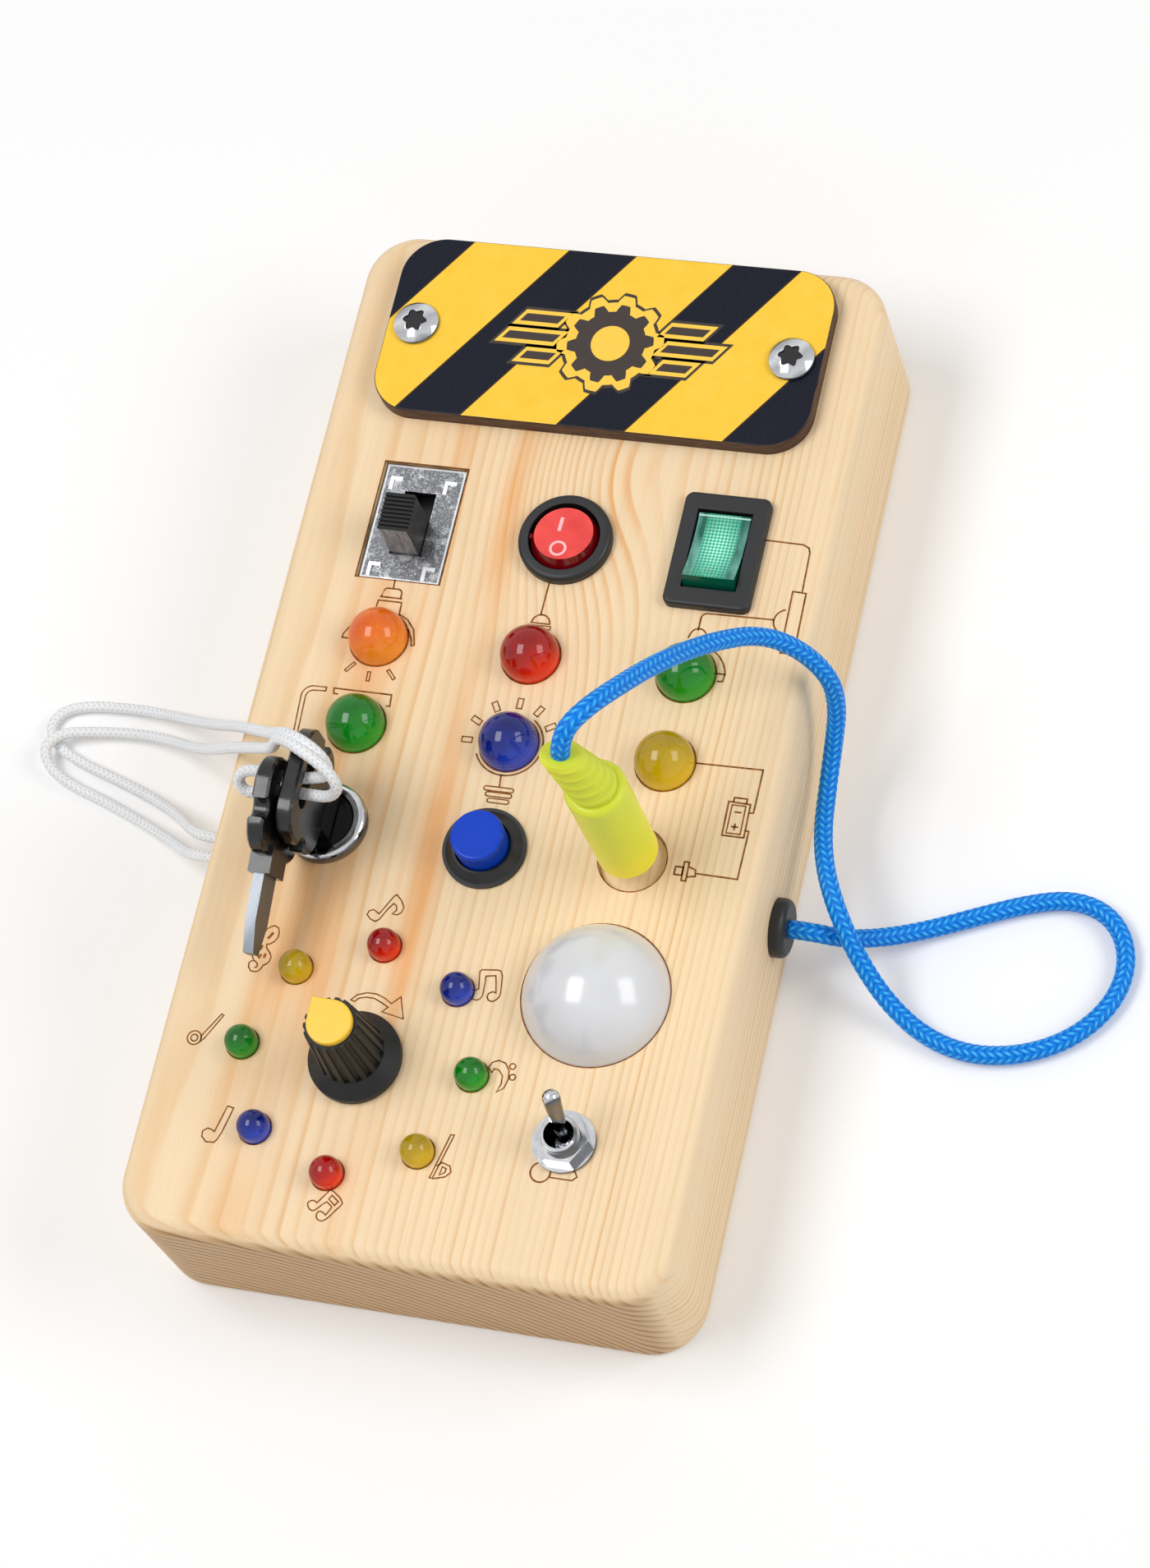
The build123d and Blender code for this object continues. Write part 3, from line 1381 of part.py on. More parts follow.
# ================================================================ files
pieces = {
    "wood_body": wood_body.part,
    "back_cover": back_cover.part,
    "back_cover_screws": back_cover_screws.part,
    "battery_door": battery_door.part,
    "battery_door_screws": battery_door_screws.part,
    "battery_box": battery_box.part,
    "battery_cells": battery_cells.part,
    "battery_contacts": battery_contacts.part,
    "sign_plate": sign_plate.part,
    "sign_screws": sign_screws.part,
    "slide_switch_plate": slide_switch_plate.part,
    "slide_switch_base": slide_switch_base.part,
    "slide_knob": slide_knob.part,
    "round_rocker_body": round_rocker_body.part,
    "round_rocker_lens": round_rocker_lens.part,
    "green_rocker_body": green_rocker_body.part,
    "green_rocker_lens": green_rocker_lens.part,
    **lamps,
    **ring_lamps,
    "ring_board": ring_board.part,
    "rotary_switch_body": rotary_switch_body.part,
    "rotary_shaft": rotary_shaft.part,
    "knob": knob.part,
    "knob_cap": knob_cap.part,
    "push_button_body": push_button_body.part,
    "push_button_nut": push_button_nut.part,
    "push_button_cap": push_button_cap.part,
    "plug_socket": plug_socket.part,
    "plug_body": plug_body.part,
    "plug_strain_relief": plug_strain_relief.part,
    "plug_pin": plug_pin.part,
    "dome_lens": dome_lens.part,
    "dome_board": dome_board.part,
    "toggle_body": toggle_body.part,
    "toggle_washer": toggle_washer_ring.part,
    "toggle_nut": toggle_nut.part,
    "toggle_lever": toggle_lever.part,
    "lock_body": lock_body.part,
    "lock_nut": lock_nut.part,
    "lock_rotor": lock_rotor.part,
    "key_head": key_head.part,
    "key_blade": key_blade.part,
    "spare_key_head": spare_key_head.part,
    "spare_key_blade": spare_key_blade.part,
    "cord_outlet_right": cord_outlet_right.part,
    "cord_outlet_left": cord_outlet_left.part,
    "blue_cord": blue_cord.part,
    "white_cord_a": white_cord_a.part,
    "white_cord_b": white_cord_b.part,
    "white_cord_bight": white_cord_bight.part,
}
for name, piece in pieces.items():
    piece.label = name
    export_step(piece, f"parts/{name}.step")
print(len(pieces), "pieces written")
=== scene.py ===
# Wooden busy board: finishes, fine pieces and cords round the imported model.
# Lengths in the dictionaries are millimetres, as on a workshop drawing.
import json
from math import cos, pi, radians, sin

import bmesh
import bpy
import numpy as np
from mathutils import Matrix


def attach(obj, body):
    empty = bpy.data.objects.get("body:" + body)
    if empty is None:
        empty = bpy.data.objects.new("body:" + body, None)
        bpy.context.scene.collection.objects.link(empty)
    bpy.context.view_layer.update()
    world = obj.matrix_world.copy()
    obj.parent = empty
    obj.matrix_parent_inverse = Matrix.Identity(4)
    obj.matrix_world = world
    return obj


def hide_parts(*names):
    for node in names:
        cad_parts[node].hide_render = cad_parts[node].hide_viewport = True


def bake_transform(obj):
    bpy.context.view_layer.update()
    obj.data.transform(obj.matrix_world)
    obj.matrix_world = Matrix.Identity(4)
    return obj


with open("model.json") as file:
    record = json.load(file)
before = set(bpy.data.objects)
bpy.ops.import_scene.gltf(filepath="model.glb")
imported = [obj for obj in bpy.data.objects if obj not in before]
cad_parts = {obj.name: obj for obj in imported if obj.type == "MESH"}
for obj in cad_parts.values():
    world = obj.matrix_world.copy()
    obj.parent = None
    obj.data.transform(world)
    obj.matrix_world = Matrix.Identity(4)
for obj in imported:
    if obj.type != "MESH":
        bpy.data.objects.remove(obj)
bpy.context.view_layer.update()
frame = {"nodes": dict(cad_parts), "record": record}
mm = 0.001
scene = bpy.context.scene

nodeBody = {
    node: body
    for body, nodes in frame["record"]["behaviour"]["bodies"].items()
    for node in nodes
}

board = {
    "top": 29.0,
}


# ---- camera, floor and lights

cameraSetup = {
    "place": (229.5, -278.37, 705.9),
    "target": (10.70, 0.37, 15.07),
    "roll": -27.9,
    "focalPixels": 5632.25,
    "centrePixels": (718.18, 944.79),
    "imagePixels": (1400, 1909),
    "sensor": 36.0,
}


def unit(vector):
    vector = np.asarray(vector, float)
    return vector / np.linalg.norm(vector)


def addObject(name, data):
    made = bpy.data.objects.new(name, data)
    scene.collection.objects.link(made)
    return made


def standing(axes, place):
    # Matrix of an object at a place in metres, its own axes along the three given ones
    rows = np.column_stack([*axes, place])
    return Matrix([*rows.tolist(), (0, 0, 0, 1)])


def placeCamera(setup):
    place = np.array(setup["place"])
    forward = unit(np.array(setup["target"]) - place)
    level = unit(np.cross(forward, (0, 0, 1)))
    upright = np.cross(level, forward)
    roll = radians(setup["roll"])
    right = cos(roll) * level + sin(roll) * upright
    up = cos(roll) * upright - sin(roll) * level
    data = bpy.data.cameras.new("camera")
    wide, high = setup["imagePixels"]
    data.sensor_width = setup["sensor"]
    data.lens = setup["sensor"] * setup["focalPixels"] / high
    data.shift_x = (wide / 2 - setup["centrePixels"][0]) / high
    data.shift_y = (setup["centrePixels"][1] - high / 2) / high
    data.clip_start = 0.01
    axes = (right, up, -forward)
    scene.camera = addObject("camera", data)
    scene.camera.matrix_world = standing(axes, place * mm)
    return axes


lightSetup = {
    "aim": (0.005, 0.0, 0.03),
    "distance": 0.9,
    "size": (0.36, 0.56),
    "left": (-0.60, 0.30, 0.74),
    "leftPower": 3.9,
    "right": (0.64, 0.26, 0.72),
    "rightPower": 2.6,
    "worldLight": 0.42,
}


def placeLight(name, direction, power, axes):
    # An area light on the camera's own axes, turned to the board
    data = bpy.data.lights.new(name, "AREA")
    data.shape = "RECTANGLE"
    data.size, data.size_y = lightSetup["size"]
    data.energy = power
    toLight = unit(np.dot(direction, axes))
    side = unit(np.cross(axes[1], toLight))
    place = np.array(lightSetup["aim"]) + lightSetup["distance"] * toLight
    light = addObject(name, data)
    light.matrix_world = standing((side, np.cross(toLight, side), toLight), place)


viewAxes = placeCamera(cameraSetup)
for hand in ("left", "right"):
    placeLight(hand + "Softbox", lightSetup[hand], lightSetup[hand + "Power"], viewAxes)
print("camera and lights placed")


# ---- small helpers for node trees


def add(tree, kind, inputs=None, **settings):
    # One node: settings are its own properties, inputs are numbers or sockets to join
    made = tree.nodes.new("ShaderNode" + kind)
    for name, value in settings.items():
        setattr(made, name, value)
    feed(tree, made.inputs, inputs or {})
    return made


def feed(tree, sockets, values):
    # Each named socket is joined to another one or set to a constant
    for name, value in values.items():
        if isinstance(value, bpy.types.NodeSocket):
            tree.links.new(value, sockets[name])
        else:
            sockets[name].default_value = value


def addGroup(tree, group, *values):
    # A node that stands for the group; values feed its inputs in order
    return add(tree, "Group", dict(enumerate(values)), node_tree=group).outputs


def calc(tree, operation, *values):
    return add(tree, "Math", dict(enumerate(values)), operation=operation).outputs[0]


def blendColours(tree, factor, first, second):
    return add(tree, "Mix", {0: factor, 6: first, 7: second}, data_type="RGBA").outputs[2]


def ramp(tree, factor, stops):
    # Stops are (place, value or colour)
    made = add(tree, "ValToRGB", {"Fac": factor})
    elements = made.color_ramp.elements
    while len(elements) < len(stops):
        elements.new(0.5)
    for element, (place, value) in zip(elements, stops):
        element.position = place
        element.color = value if isinstance(value, tuple) else (value, value, value, 1)
    return made.outputs["Color"]


def paint(red, green, blue):
    # A colour as it is written on a screen, turned linear
    channels = np.array((red, green, blue)) / 255
    linear = np.where(channels <= 0.04045, channels / 12.92, ((channels + 0.055) / 1.055) ** 2.4)
    return (*linear.tolist(), 1.0)


def startMaterial(name, **constants):
    material = bpy.data.materials.new(name)
    material.use_nodes = True
    tree = material.node_tree
    shader = tree.nodes["Principled BSDF"]
    feed(tree, shader.inputs, constants)
    return material, tree, shader


def scaled(tree, vector, factor):
    return add(tree, "VectorMath", {0: vector, "Scale": factor}, operation="SCALE").outputs[0]


def placeCoordinates(tree):
    # Object coordinates in millimetres
    return scaled(tree, add(tree, "TexCoord").outputs["Object"], 1000.0)


def split(tree, vector):
    return add(tree, "SeparateXYZ", {0: vector}).outputs


def facingAxes(tree):
    # The three parts of the way the surface faces on the object
    return split(tree, add(tree, "TexCoord").outputs["Normal"])


def centred(tree, value):
    return calc(tree, "SUBTRACT", value, 0.5)


def bump(tree, height, strength, distance):
    settings = {"Height": height, "Strength": strength, "Distance": distance}
    return add(tree, "Bump", settings).outputs[0]


def stretched(tree, vector, scale):
    return add(tree, "VectorMath", {0: vector, 1: scale}, operation="MULTIPLY").outputs[0]


def noise(tree, vector, detail=2.0, rough=0.5, scale=1.0):
    settings = {"Vector": vector, "Scale": scale, "Detail": detail, "Roughness": rough}
    return add(tree, "TexNoise", settings).outputs["Fac"]


def noiseLine(tree, value):
    # Noise along a single value
    settings = {"W": value, "Scale": 1.0, "Detail": 1.0}
    return add(tree, "TexNoise", settings, noise_dimensions="1D").outputs["Fac"]


def newGroup(name, inputs, outputs):
    group = bpy.data.node_groups.new(name, "ShaderNodeTree")
    for label, kind, value in inputs:
        socket = group.interface.new_socket(name=label, in_out="INPUT", socket_type="NodeSocket" + kind)
        socket.default_value = value
    for label, kind in outputs:
        group.interface.new_socket(name=label, in_out="OUTPUT", socket_type="NodeSocket" + kind)
    return group, group.nodes.new("NodeGroupInput").outputs, group.nodes.new("NodeGroupOutput").inputs


def buildSkinGroup():
    # Handled surface: soft clouds of tone and gloss, fine grain as bump
    group, given, out = newGroup(
        "handledSkin",
        [
            ("Colour", "Color", (0.5, 0.5, 0.5, 1)),
            ("Tone", "Float", 0.08),
            ("Gloss", "Float", 0.3),
            ("Gloss spread", "Float", 0.1),
            ("Cloud size", "Float", 4.0),
            ("Grain size", "Float", 0.3),
            ("Grain depth", "Float", 0.1),
        ],
        [("Colour", "Color"), ("Gloss", "Float"), ("Normal", "Vector")],
    )
    where = placeCoordinates(group)
    cloudScale = calc(group, "DIVIDE", 1.0, given["Cloud size"])
    cloud = centred(group, noise(group, scaled(group, where, cloudScale), 3.0))
    grainScale = calc(group, "DIVIDE", 1.0, given["Grain size"])
    grain = noise(group, scaled(group, where, grainScale))
    swing = calc(group, "MULTIPLY", cloud, given["Tone"])
    speckShare = calc(group, "MULTIPLY", given["Tone"], 0.6)
    speck = calc(group, "MULTIPLY", centred(group, grain), speckShare)
    level = calc(group, "ADD", calc(group, "ADD", swing, speck), 1.0)
    feed(group, out, {
        "Colour": scaled(group, given["Colour"], level),
        "Gloss": calc(group, "MULTIPLY_ADD", cloud, given["Gloss spread"], given["Gloss"]),
        "Normal": bump(group, grain, given["Grain depth"], 0.00005),
    })
    return group


skinGroup = buildSkinGroup()


def skinNode(tree, shader, colour, tone=0.08, gloss=0.3, spread=0.1, cloud=4.0, grain=0.3, depth=0.1):
    made = addGroup(tree, skinGroup, colour, tone, gloss, spread, cloud, grain, depth)
    feed(tree, shader.inputs, {
        "Base Color": made["Colour"], "Roughness": made["Gloss"], "Normal": made["Normal"]})


def moulded(name, colour, specular=0.5, **skin):
    material, tree, shader = startMaterial(name, **{"Specular IOR Level": specular})
    skinNode(tree, shader, colour, **skin)
    return material


# ---- floor and surroundings

floorSetup = {
    "size": 6.0,
    "drop": -0.00005,
    "colour": 0.90,
    "lift": 0.12,
    "farLift": 0.62,
    "fade": (0.30, 1.30),
}


def seenBackground(tree):
    # One where a camera, a mirror or a lens sees the surroundings, else zero
    path = add(tree, "LightPath").outputs
    seen = calc(tree, "MAXIMUM", path["Is Camera Ray"], path["Is Glossy Ray"])
    return calc(tree, "MAXIMUM", seen, path["Is Transmission Ray"])


def makeWorld():
    world = bpy.data.worlds.new("studio")
    scene.world = world
    world.use_nodes = True
    tree = world.node_tree
    strength = calc(tree, "MAXIMUM", seenBackground(tree), lightSetup["worldLight"])
    feed(tree, tree.nodes["Background"].inputs, {"Color": (1, 1, 1, 1), "Strength": strength})


def makeFloor():
    half, z = floorSetup["size"] / 2, floorSetup["drop"]
    mesh = bpy.data.meshes.new("floor")
    corners = [(-half, -half, z), (half, -half, z), (half, half, z), (-half, half, z)]
    mesh.from_pydata(corners, [], [(0, 1, 2, 3)])
    floor = addObject("floor", mesh)
    material = bpy.data.materials.new("floorPaper")
    material.use_nodes = True
    tree = material.node_tree
    tree.nodes.clear()
    paper = add(tree, "BsdfDiffuse", {"Color": (floorSetup["colour"],) * 3 + (1,)})

    # The paper's own glow grows away from the board, where the softboxes no longer reach
    where = add(tree, "TexCoord").outputs["Object"]
    away = add(tree, "VectorMath", {0: where}, operation="LENGTH").outputs["Value"]
    near, far = floorSetup["fade"]
    share = add(tree, "MapRange", {
        "Value": away, "From Min": near, "From Max": far,
        "To Min": floorSetup["lift"], "To Max": floorSetup["farLift"]}).outputs["Result"]
    glow = add(tree, "Emission", {"Strength": calc(tree, "MULTIPLY", seenBackground(tree), share)})
    both = add(tree, "AddShader", {0: paper.outputs[0], 1: glow.outputs[0]})
    add(tree, "OutputMaterial", {"Surface": both.outputs[0]})
    mesh.materials.append(material)


makeWorld()
makeFloor()


# ---- helpers for meshes


def addPiece(name, mesh, body, material, covers=(), creaseAngle=35.0):
    piece = addObject(name, mesh)
    mesh.shade_smooth()
    mesh.set_sharp_from_angle(angle=radians(creaseAngle))
    mesh.materials.clear()
    mesh.materials.append(material)
    if body:
        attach(piece, body)
    if covers:
        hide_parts(*covers)
    return piece


def closedVolume(points, faces):
    # Signed volume of quads and triangles, positive when the faces point outwards
    total = 0.0
    for face in faces:
        corners = [points[face[:, k]] for k in range(face.shape[1])]
        for k in range(1, len(corners) - 1):
            total += np.einsum("ij,ij->", corners[0], np.cross(corners[k], corners[k + 1]))
    return total


def weld(mesh, gap, speck):
    # Joins points closer than the gap, then drops edges shorter than the speck
    joined = bmesh.new()
    joined.from_mesh(mesh)
    bmesh.ops.remove_doubles(joined, verts=joined.verts, dist=gap)
    bmesh.ops.dissolve_degenerate(joined, dist=speck, edges=joined.edges)
    joined.to_mesh(mesh)
    joined.free()


class Shell:
    # Points and faces of one or more closed surfaces, put together before they become a mesh
    def __init__(self):
        self.points = []
        self.faces = []
        self.count = 0
        self.extra = []

    def skin(self, rings, caps=True, loop=False, extra=None):
        # rings[i, j] is point j of ring i; neighbours are joined by quads, ends closed by fans
        rings = np.asarray(rings, float)
        many, around = rings.shape[:2]
        points = rings.reshape(-1, 3)
        i = np.arange(many if loop else many - 1)[:, None]
        j = np.arange(around)[None, :]
        nextI = (i + 1) % many
        nextJ = (j + 1) % around
        quads = np.stack(np.broadcast_arrays(
            i * around + j, i * around + nextJ, nextI * around + nextJ, nextI * around + j), -1).reshape(-1, 4)
        faces = [quads]
        if caps and not loop:
            points = np.vstack([points, rings[0].mean(0), rings[-1].mean(0)])
            k = np.arange(around)
            following = (k + 1) % around
            first = many * around
            last = (many - 1) * around
            faces.append(np.stack([np.full(around, first), following, k], -1))
            faces.append(np.stack([np.full(around, first + 1), last + k, last + following], -1))
        if closedVolume(points - points.mean(0), faces) < 0:
            faces = [f[:, ::-1] for f in faces]
        self.points.append(points)
        self.faces += [f + self.count for f in faces]
        if extra is not None:
            flat = np.asarray(extra, float).reshape(many * around, -1)
            if caps and not loop:
                flat = np.vstack([flat, flat[:around].mean(0), flat[-around:].mean(0)])
            self.extra.append(flat)
        self.count += len(points)

    def mesh(self, name):
        mesh = bpy.data.meshes.new(name)
        points = np.vstack(self.points) * mm
        faces = [face for block in self.faces for face in block.tolist()]
        mesh.from_pydata(points.tolist(), [], faces)
        if self.extra:
            values = np.vstack(self.extra)
            for column, label in enumerate(("along", "around", "relief")[: values.shape[1]]):
                attribute = mesh.attributes.new(label, "FLOAT", "POINT")
                attribute.data.foreach_set("value", values[:, column].astype(np.float32))
        weld(mesh, 1e-7, 1e-8)
        return mesh


def softened(corners, steps=4):
    # Corners are (a, b, radius); each corner becomes a quadratic curve that starts a radius before it
    corners = [(*c, 0.0) if len(c) == 2 else c for c in corners]
    path = []
    for k, (a, b, radius) in enumerate(corners):
        here = np.array((a, b), float)
        if k in (0, len(corners) - 1) or radius == 0:
            path.append(here)
            continue
        before = np.array(corners[k - 1][:2], float) - here
        after = np.array(corners[k + 1][:2], float) - here
        reach = min(radius, 0.48 * np.linalg.norm(before), 0.48 * np.linalg.norm(after))
        start = here + unit(before) * reach
        end = here + unit(after) * reach
        t = np.linspace(0, 1, steps + 1)[:, None]
        path += list((1 - t) ** 2 * start + 2 * t * (1 - t) * here + t ** 2 * end)
    return np.array(path)


def turned(profile, segments):
    # Each profile point (radius, height) carried round the axis
    profile = np.array(profile, float)
    angle = np.arange(segments) * 2 * pi / segments
    radius = profile[:, 0][:, None] * np.ones_like(angle)[None, :]
    height = np.broadcast_to(profile[:, 1][:, None], radius.shape)
    return np.stack([radius * np.cos(angle), radius * np.sin(angle), height], -1)


def skinTurned(shell, profile, segments, centre, closed=False):
    # A turned solid; its profile closes on itself, or starts and ends on the axis
    shell.skin(turned(profile, segments) + (*centre, 0), caps=False, loop=closed)


def roundedBox(halfX, halfY, corner, steps=6):
    # Outline of a box with round corners, anticlockwise
    t = np.linspace(0, pi / 2, steps + 1)
    pieces = []
    for turn, (sx, sy) in enumerate(((1, 1), (-1, 1), (-1, -1), (1, -1))):
        angle = t + turn * pi / 2
        pieces.append(np.stack([
            sx * (halfX - corner) + corner * np.cos(angle),
            sy * (halfY - corner) + corner * np.sin(angle)], -1))
    return np.vstack(pieces)


def sweptNormals(path):
    # A pair of normals carried along the path with the least twist
    tangent = np.gradient(path, axis=0)
    tangent /= np.linalg.norm(tangent, axis=1)[:, None]
    side = np.zeros_like(path)
    carried = np.array((0.3, 0.2, 1.0))
    for k, direction in enumerate(tangent):
        carried = unit(carried - np.dot(carried, direction) * direction)
        side[k] = carried
    return side, np.cross(tangent, side)


def evenly(path, spacing):
    # The same line with points at even distances
    steps = np.linalg.norm(np.diff(path, axis=0), axis=1)
    run = np.concatenate([[0], np.cumsum(steps)])
    count = int(run[-1] / spacing) + 1
    at = np.linspace(0, run[-1], count)
    return np.stack([np.interp(at, run, path[:, k]) for k in range(3)], -1), at


def smoothCopy(node, material, crease=30.0):
    # The same solid with shared points and smooth rounds
    source = frame["nodes"][node].data
    points = np.zeros(len(source.vertices) * 3)
    corners = np.zeros(len(source.loops), int)
    source.vertices.foreach_get("co", points)
    source.loops.foreach_get("vertex_index", corners)
    mesh = bpy.data.meshes.new(node)
    mesh.from_pydata(points.reshape(-1, 3).tolist(), [], corners.reshape(-1, 3).tolist())
    weld(mesh, 2e-6, 1e-7)
    piece = addPiece(node + "_finish", mesh, nodeBody[node], material, [node], crease)
    even = piece.modifiers.new("evenShading", "WEIGHTED_NORMAL")
    even.keep_sharp = True


# ---- pine block

pine = {
    "pith": (-47.0, -46.0),
    "endPith": (-50.0, -66.0),
    "endScale": 0.56,
    "ringSpacing": 1.06,
    "wobble": 2.0,
    "swirlCentre": (5.0, 52.0),
    "swirlSize": (14.0, 26.0),
    "swirlHeight": 7.5,
    "lateWood": [(0.0, 0.10), (0.12, 0.0), (0.5, 0.18), (0.84, 1.0), (0.93, 0.9), (1.0, 0.1)],
    "early": paint(247, 220, 180),
    "late": paint(229, 182, 124),
    "endEarly": paint(218, 178, 128),
    "endLate": paint(138, 92, 50),
    "amber": paint(236, 162, 84),
}


def bell(tree, value, centre, width):
    # exp(-((value - centre) / width)²)
    offset = calc(tree, "DIVIDE", calc(tree, "SUBTRACT", value, centre), width)
    return calc(tree, "EXPONENT", calc(tree, "MULTIPLY", calc(tree, "MULTIPLY", offset, offset), -1.0))


def reach(tree, axis, pith):
    # Distance from a pith line that runs along Y
    side = calc(tree, "SUBTRACT", axis["X"], pith[0])
    rise = calc(tree, "SUBTRACT", axis["Z"], pith[1])
    squares = calc(tree, "ADD", calc(tree, "MULTIPLY", side, side), calc(tree, "MULTIPLY", rise, rise))
    return calc(tree, "SQRT", squares)


def buildFibreGroup():
    # Long thin fibres along Y: a tone round one half and a height for the bump
    group, given, out = newGroup(
        "woodFibre",
        [("Place", "Vector", (0, 0, 0)), ("Fibre width", "Float", 0.3), ("Fibre length", "Float", 9.0)],
        [("Tone", "Float"), ("Streak", "Float")],
    )
    scale = add(group, "CombineXYZ", {
        "X": calc(group, "DIVIDE", 1.0, given["Fibre width"]),
        "Y": calc(group, "DIVIDE", 1.0, given["Fibre length"]),
        "Z": calc(group, "DIVIDE", 1.0, given["Fibre width"])})
    place = stretched(group, given["Place"], scale.outputs[0])
    broad = stretched(group, place, (0.22, 0.35, 0.22))
    feed(group, out, {"Tone": noise(group, place, 3.0, 0.6), "Streak": noise(group, broad)})
    return group


fibreGroup = buildFibreGroup()


def pineMaterial():
    material, tree, shader = startMaterial("pineWood", **{"Specular IOR Level": 0.35})
    where = placeCoordinates(tree)
    axis = split(tree, where)
    facing = facingAxes(tree)
    endGrain = ramp(tree, calc(tree, "ABSOLUTE", facing["Y"]), [(0.72, 0.0), (0.95, 1.0)])
    fibre = addGroup(tree, fibreGroup, where)

    # Ring field: distance from the pith, pushed about by slow noise
    # and by the swirl of a buried knot
    slow = centred(tree, noise(tree, stretched(tree, where, (0.018, 0.0075, 0.018))))
    small = centred(tree, noise(tree, stretched(tree, where, (0.10, 0.03, 0.10))))
    swirlX = bell(tree, axis["X"], pine["swirlCentre"][0], pine["swirlSize"][0])
    swirlY = bell(tree, axis["Y"], pine["swirlCentre"][1], pine["swirlSize"][1])
    swirl = calc(tree, "MULTIPLY", calc(tree, "MULTIPLY", swirlX, swirlY), pine["swirlHeight"])
    endReach = calc(tree, "MULTIPLY", reach(tree, axis, pine["endPith"]), pine["endScale"])
    onEnd = ramp(tree, calc(tree, "ABSOLUTE", facing["Y"]), [(0.70, 0.0), (0.74, 1.0)])
    plain = blendColours(tree, onEnd, reach(tree, axis, pine["pith"]), endReach)
    distance = calc(tree, "MULTIPLY_ADD", slow, pine["wobble"], plain)
    distance = calc(tree, "MULTIPLY_ADD", small, 0.35, distance)
    distance = calc(tree, "ADD", distance, swirl)
    phase = calc(tree, "DIVIDE", distance, pine["ringSpacing"])
    ringTone = noiseLine(tree, calc(tree, "MULTIPLY", phase, 0.9))
    yearTone = noiseLine(tree, calc(tree, "MULTIPLY", phase, 0.13))
    late = ramp(tree, calc(tree, "FRACT", phase), pine["lateWood"])
    strength = calc(tree, "MULTIPLY", ramp(tree, ringTone, [(0.3, 0.25), (0.7, 1.0)]), late)
    strength = calc(tree, "MULTIPLY", strength, ramp(tree, yearTone, [(0.3, 0.40), (0.7, 0.9)]))
    endStrength = calc(tree, "MULTIPLY_ADD", late, 0.6, calc(tree, "MULTIPLY", strength, 0.4))
    strength = blendColours(tree, endGrain, strength, endStrength)

    early = blendColours(tree, endGrain, pine["early"], pine["endEarly"])
    lateTone = blendColours(tree, endGrain, pine["late"], pine["endLate"])
    wood = blendColours(tree, strength, early, lateTone)

    # Amber streaks where resin runs along the face
    drift = centred(tree, noise(tree, stretched(tree, where, (0.03, 0.012, 0.03)), 1.0))
    across = calc(tree, "ADD", axis["X"], calc(tree, "MULTIPLY", drift, 14.0))
    patchNoise = noise(tree, stretched(tree, where, (0.10, 0.018, 0.10)))
    patches = ramp(tree, patchNoise, [(0.38, 0.15), (0.58, 1.0)])
    onTop = ramp(tree, facing["Z"], [(0.5, 0.0), (0.9, 1.0)])
    narrow = calc(tree, "MULTIPLY", bell(tree, across, -9.0, 2.6), 0.9)
    resin = calc(tree, "ADD", bell(tree, across, -27.0, 5.5), narrow)
    resin = calc(tree, "ADD", resin, calc(tree, "MULTIPLY", calc(tree, "MULTIPLY", swirl, late), 0.11))
    resin = calc(tree, "MULTIPLY", calc(tree, "MULTIPLY", resin, patches), calc(tree, "MULTIPLY", onTop, 0.85))
    wood = blendColours(tree, resin, wood, pine["amber"])

    # Fibres lighten and darken the whole
    grainTone = calc(tree, "MULTIPLY_ADD", centred(tree, fibre["Tone"]), 0.14, 1.0)
    streakTone = calc(tree, "MULTIPLY_ADD", centred(tree, fibre["Streak"]), 0.10, grainTone)
    level = calc(tree, "MULTIPLY_ADD", slow, 0.08, streakTone)
    height = calc(tree, "MULTIPLY_ADD", strength, 0.6, fibre["Tone"])
    feed(tree, shader.inputs, {
        "Base Color": scaled(tree, wood, level),
        "Roughness": calc(tree, "MULTIPLY_ADD", fibre["Tone"], 0.25, 0.38),
        "Normal": bump(tree, height, 0.25, 0.00006),
    })
    return material


pineWood = pineMaterial()
smoothCopy("wood_body", pineWood)
print("pine block finished")


# ---- finishes for plain pieces

finishes = {
    "printedNavy": paint(3, 7, 20),
    "blackSatin": paint(29, 30, 32),
    "blackKnob": paint(27, 28, 30),
    "blackGloss": paint(16, 16, 17),
    "steel": paint(190, 193, 197),
    "keySteel": paint(138, 143, 150),
    "chrome": paint(214, 216, 220),
    "buttonBlue": paint(2, 66, 204),
    "capYellow": paint(255, 205, 60),
}


